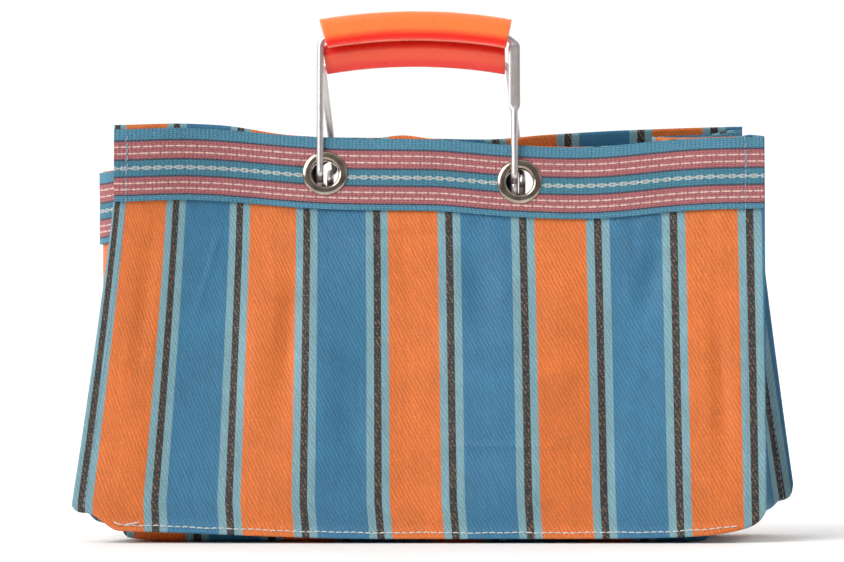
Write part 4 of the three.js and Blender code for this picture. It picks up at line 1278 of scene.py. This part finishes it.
def make_threads(wall, right_inset):
    corners = [("left", SEAM_INSET, False), ("right", right_inset, True)]
    for end, inset, at_right in corners:
        rows = corner_rows(wall, inset, at_right)
        # Each seam is sewn back over itself at the mouth.
        top = float(wall.tape_top(1.0 if at_right else 0.0))
        rows += corner_rows(wall, inset, at_right, shift=0.9, span=(top - 26, top - 1))
        piece = stitched(f"{wall.name}_{end}_seam_stitches", rows, THREAD_R, SEAM_THREAD_LOOK)
        finish_piece(piece, "bag", [f"{wall.name}_{end}_seam_thread"])
    us = np.linspace(0.075, 0.965, 500)
    zs = wall.low_edge(us) + 3.4 + 0.35 * np.sin(us * 90) * np.sin(us * 41)
    rows = both_faces(wall, us, zs, np.full(len(us), CLOTH / 2), HEM_THREAD_R, HEM_STITCH, HEM_GAP)
    first = seam_path(wall, us[:2], wall.low_edge(us[:2]) + 3.4, np.full(2, CLOTH / 2 + 0.5))[0][0]
    rows += [loose_end(first, (-7, 2.4)), loose_end(first + (2, 0, 0.6), (9, 1.5))]
    piece = stitched(f"{wall.name}_hem_stitches", rows, HEM_THREAD_R, HEM_THREAD_LOOK)
    finish_piece(piece, "bag", [f"{wall.name}_hem_thread"])


# ---- the handles ----
LEG_SHIFT = 3.5  # the front legs hang to the left in their eyelets
FRONT_LEGS = (-EYELET_SPAN / 2 - LEG_SHIFT, EYELET_SPAN / 2 - LEG_SHIFT)
REAR_LEGS = (-EYELET_SPAN / 2 - 2.4, EYELET_SPAN / 2 - 3.4)
REAR_TOP = (-10.7 - 65.5, -10.7 + 65.5)  # the rear legs lean to the left on their way up
FRONT_BAIL = Bail(FRONT, HANDLE_X["front"], 1, FRONT_LEGS, FRONT_LEGS, 105.2, 130, pad_leg=FRONT_LEGS[1])
REAR_BAIL = Bail(BACK, HANDLE_X["back"], -1, REAR_LEGS, REAR_TOP, 86.4, 127)


def make_handle(name, bail, outline, slants, look):
    body = f"{name}_bail"
    finish_piece(bail.wire(f"{name}_handle_wire", WIRE_LOOK), body, [f"{name}_bail_wire"])
    grip = bail.grip(f"{name}_handle_grip", look, outline, slants)
    finish_piece(grip, body, [f"{name}_grip"])


# ---- camera, light and floor ----
LENS = 300
SENSOR = 36
VIEW_WIDTH = 590.8  # of the scene, in millimetres, at the object
LOOK_AT = (-11.0, -30.0, 181.9)
ELEVATION = 1.0


def add_camera():
    data = bpy.data.cameras.new("camera")
    data.lens = LENS
    data.sensor_width = SENSOR
    data.clip_end = 100
    camera = bpy.data.objects.new("camera", data)
    bpy.context.scene.collection.objects.link(camera)
    distance = VIEW_WIDTH * LENS / SENSOR
    away = Vector((0, -math.cos(math.radians(ELEVATION)), math.sin(math.radians(ELEVATION))))
    camera.location = (Vector(LOOK_AT) + away * distance) * MM
    camera.rotation_euler = (-away).to_track_quat("-Z", "Y").to_euler()
    bpy.context.scene.camera = camera


SKY_FRONT = 0.24
SKY_BACK = 1.06
SKY_DIM_Y = -0.9  # the sky brightens between these two directions, from the front to the back
SKY_BRIGHT_Y = 0.5
KEY_STRENGTH = 2.6
KEY_ANGLE = 46
KEY_FROM = (-0.95, -0.8, 1.0)
FLOOR_HALF = 60000


def add_light(name, place, target, size, watts, colour=(1, 1, 1)):
    data = bpy.data.lights.new(name, "AREA")
    data.shape = "RECTANGLE"
    data.size, data.size_y = size
    data.energy = watts
    data.color = colour
    light = bpy.data.objects.new(name, data)
    bpy.context.scene.collection.objects.link(light)
    light.location = place
    light.rotation_euler = (Vector(target) - Vector(place)).to_track_quat("-Z", "Y").to_euler()


def add_sky():
    """A white studio round the object: brightest behind it and overhead, dimmer low down in front."""
    world = bpy.data.worlds.new("studio")
    bpy.context.scene.world = world
    world.use_nodes = True
    tree = world.node_tree
    background = tree.nodes["Background"]
    background.inputs["Color"].default_value = (1, 1, 1, 1)
    direction = tree.nodes.new("ShaderNodeTexCoord").outputs["Generated"]
    parts = tree.nodes.new("ShaderNodeSeparateXYZ")
    tree.links.new(direction, parts.inputs[0])
    strength = tree.nodes.new("ShaderNodeMapRange")
    strength.interpolation_type = "SMOOTHSTEP"
    tree.links.new(parts.outputs["Y"], strength.inputs["Value"])
    limits = {"From Min": SKY_DIM_Y, "From Max": SKY_BRIGHT_Y, "To Min": SKY_FRONT, "To Max": SKY_BACK}
    for socket, value in limits.items():
        strength.inputs[socket].default_value = value
    tree.links.new(strength.outputs["Result"], background.inputs["Strength"])


def add_studio():
    corners = [(-FLOOR_HALF, -FLOOR_HALF, 0), (FLOOR_HALF, -FLOOR_HALF, 0)]
    corners += [(FLOOR_HALF, FLOOR_HALF, 0), (-FLOOR_HALF, FLOOR_HALF, 0)]
    new_mesh("floor", corners, [(0, 1, 2, 3)], studio_look())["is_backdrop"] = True
    add_sky()
    sun = bpy.data.lights.new("key", "SUN")
    sun.energy = KEY_STRENGTH
    sun.angle = math.radians(KEY_ANGLE)
    sun.color = (1, 0.985, 0.96)
    light = bpy.data.objects.new("key", sun)
    bpy.context.scene.collection.objects.link(light)
    light.rotation_euler = Vector(KEY_FROM).to_track_quat("Z", "Y").to_euler()
    add_light("rim", (0.6, 2.2, 1.8), (0, 0, 0.17), (1.8, 0.9), 14)
    bpy.context.scene.view_settings.view_transform = "Standard"


# ---- assembly ----
add_camera()
make_base()
for side, right_inset in ((FRONT, WIDE_SEAM_INSET), (BACK, SEAM_INSET)):
    make_wall(side)
    make_wall_tape(side)
    make_eyelets(side)
    make_threads(side, right_inset)
for side in (LEFT, RIGHT):
    make_gusset(side)
front_outline = grip_outline(lip_low=-8.9, back_low=-1.5, half_width=7.5, top=14)
make_handle("front", FRONT_BAIL, front_outline, (-0.1, 0.03), FRONT_GRIP_PAINTED_LIGHT_LOOK)
rear_outline = grip_outline(lip_low=-6.5, back_low=-6.5, half_width=7, top=13.5)
make_handle("rear", REAR_BAIL, rear_outline, (0.0, -0.17), REAR_GRIP_PAINTED_LIGHT_LOOK)
add_studio()

sizes = {"cad": CAD_BOX, "visual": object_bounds()}
{key: [list(map(float, corner)) for corner in box] for key, box in sizes.items()}
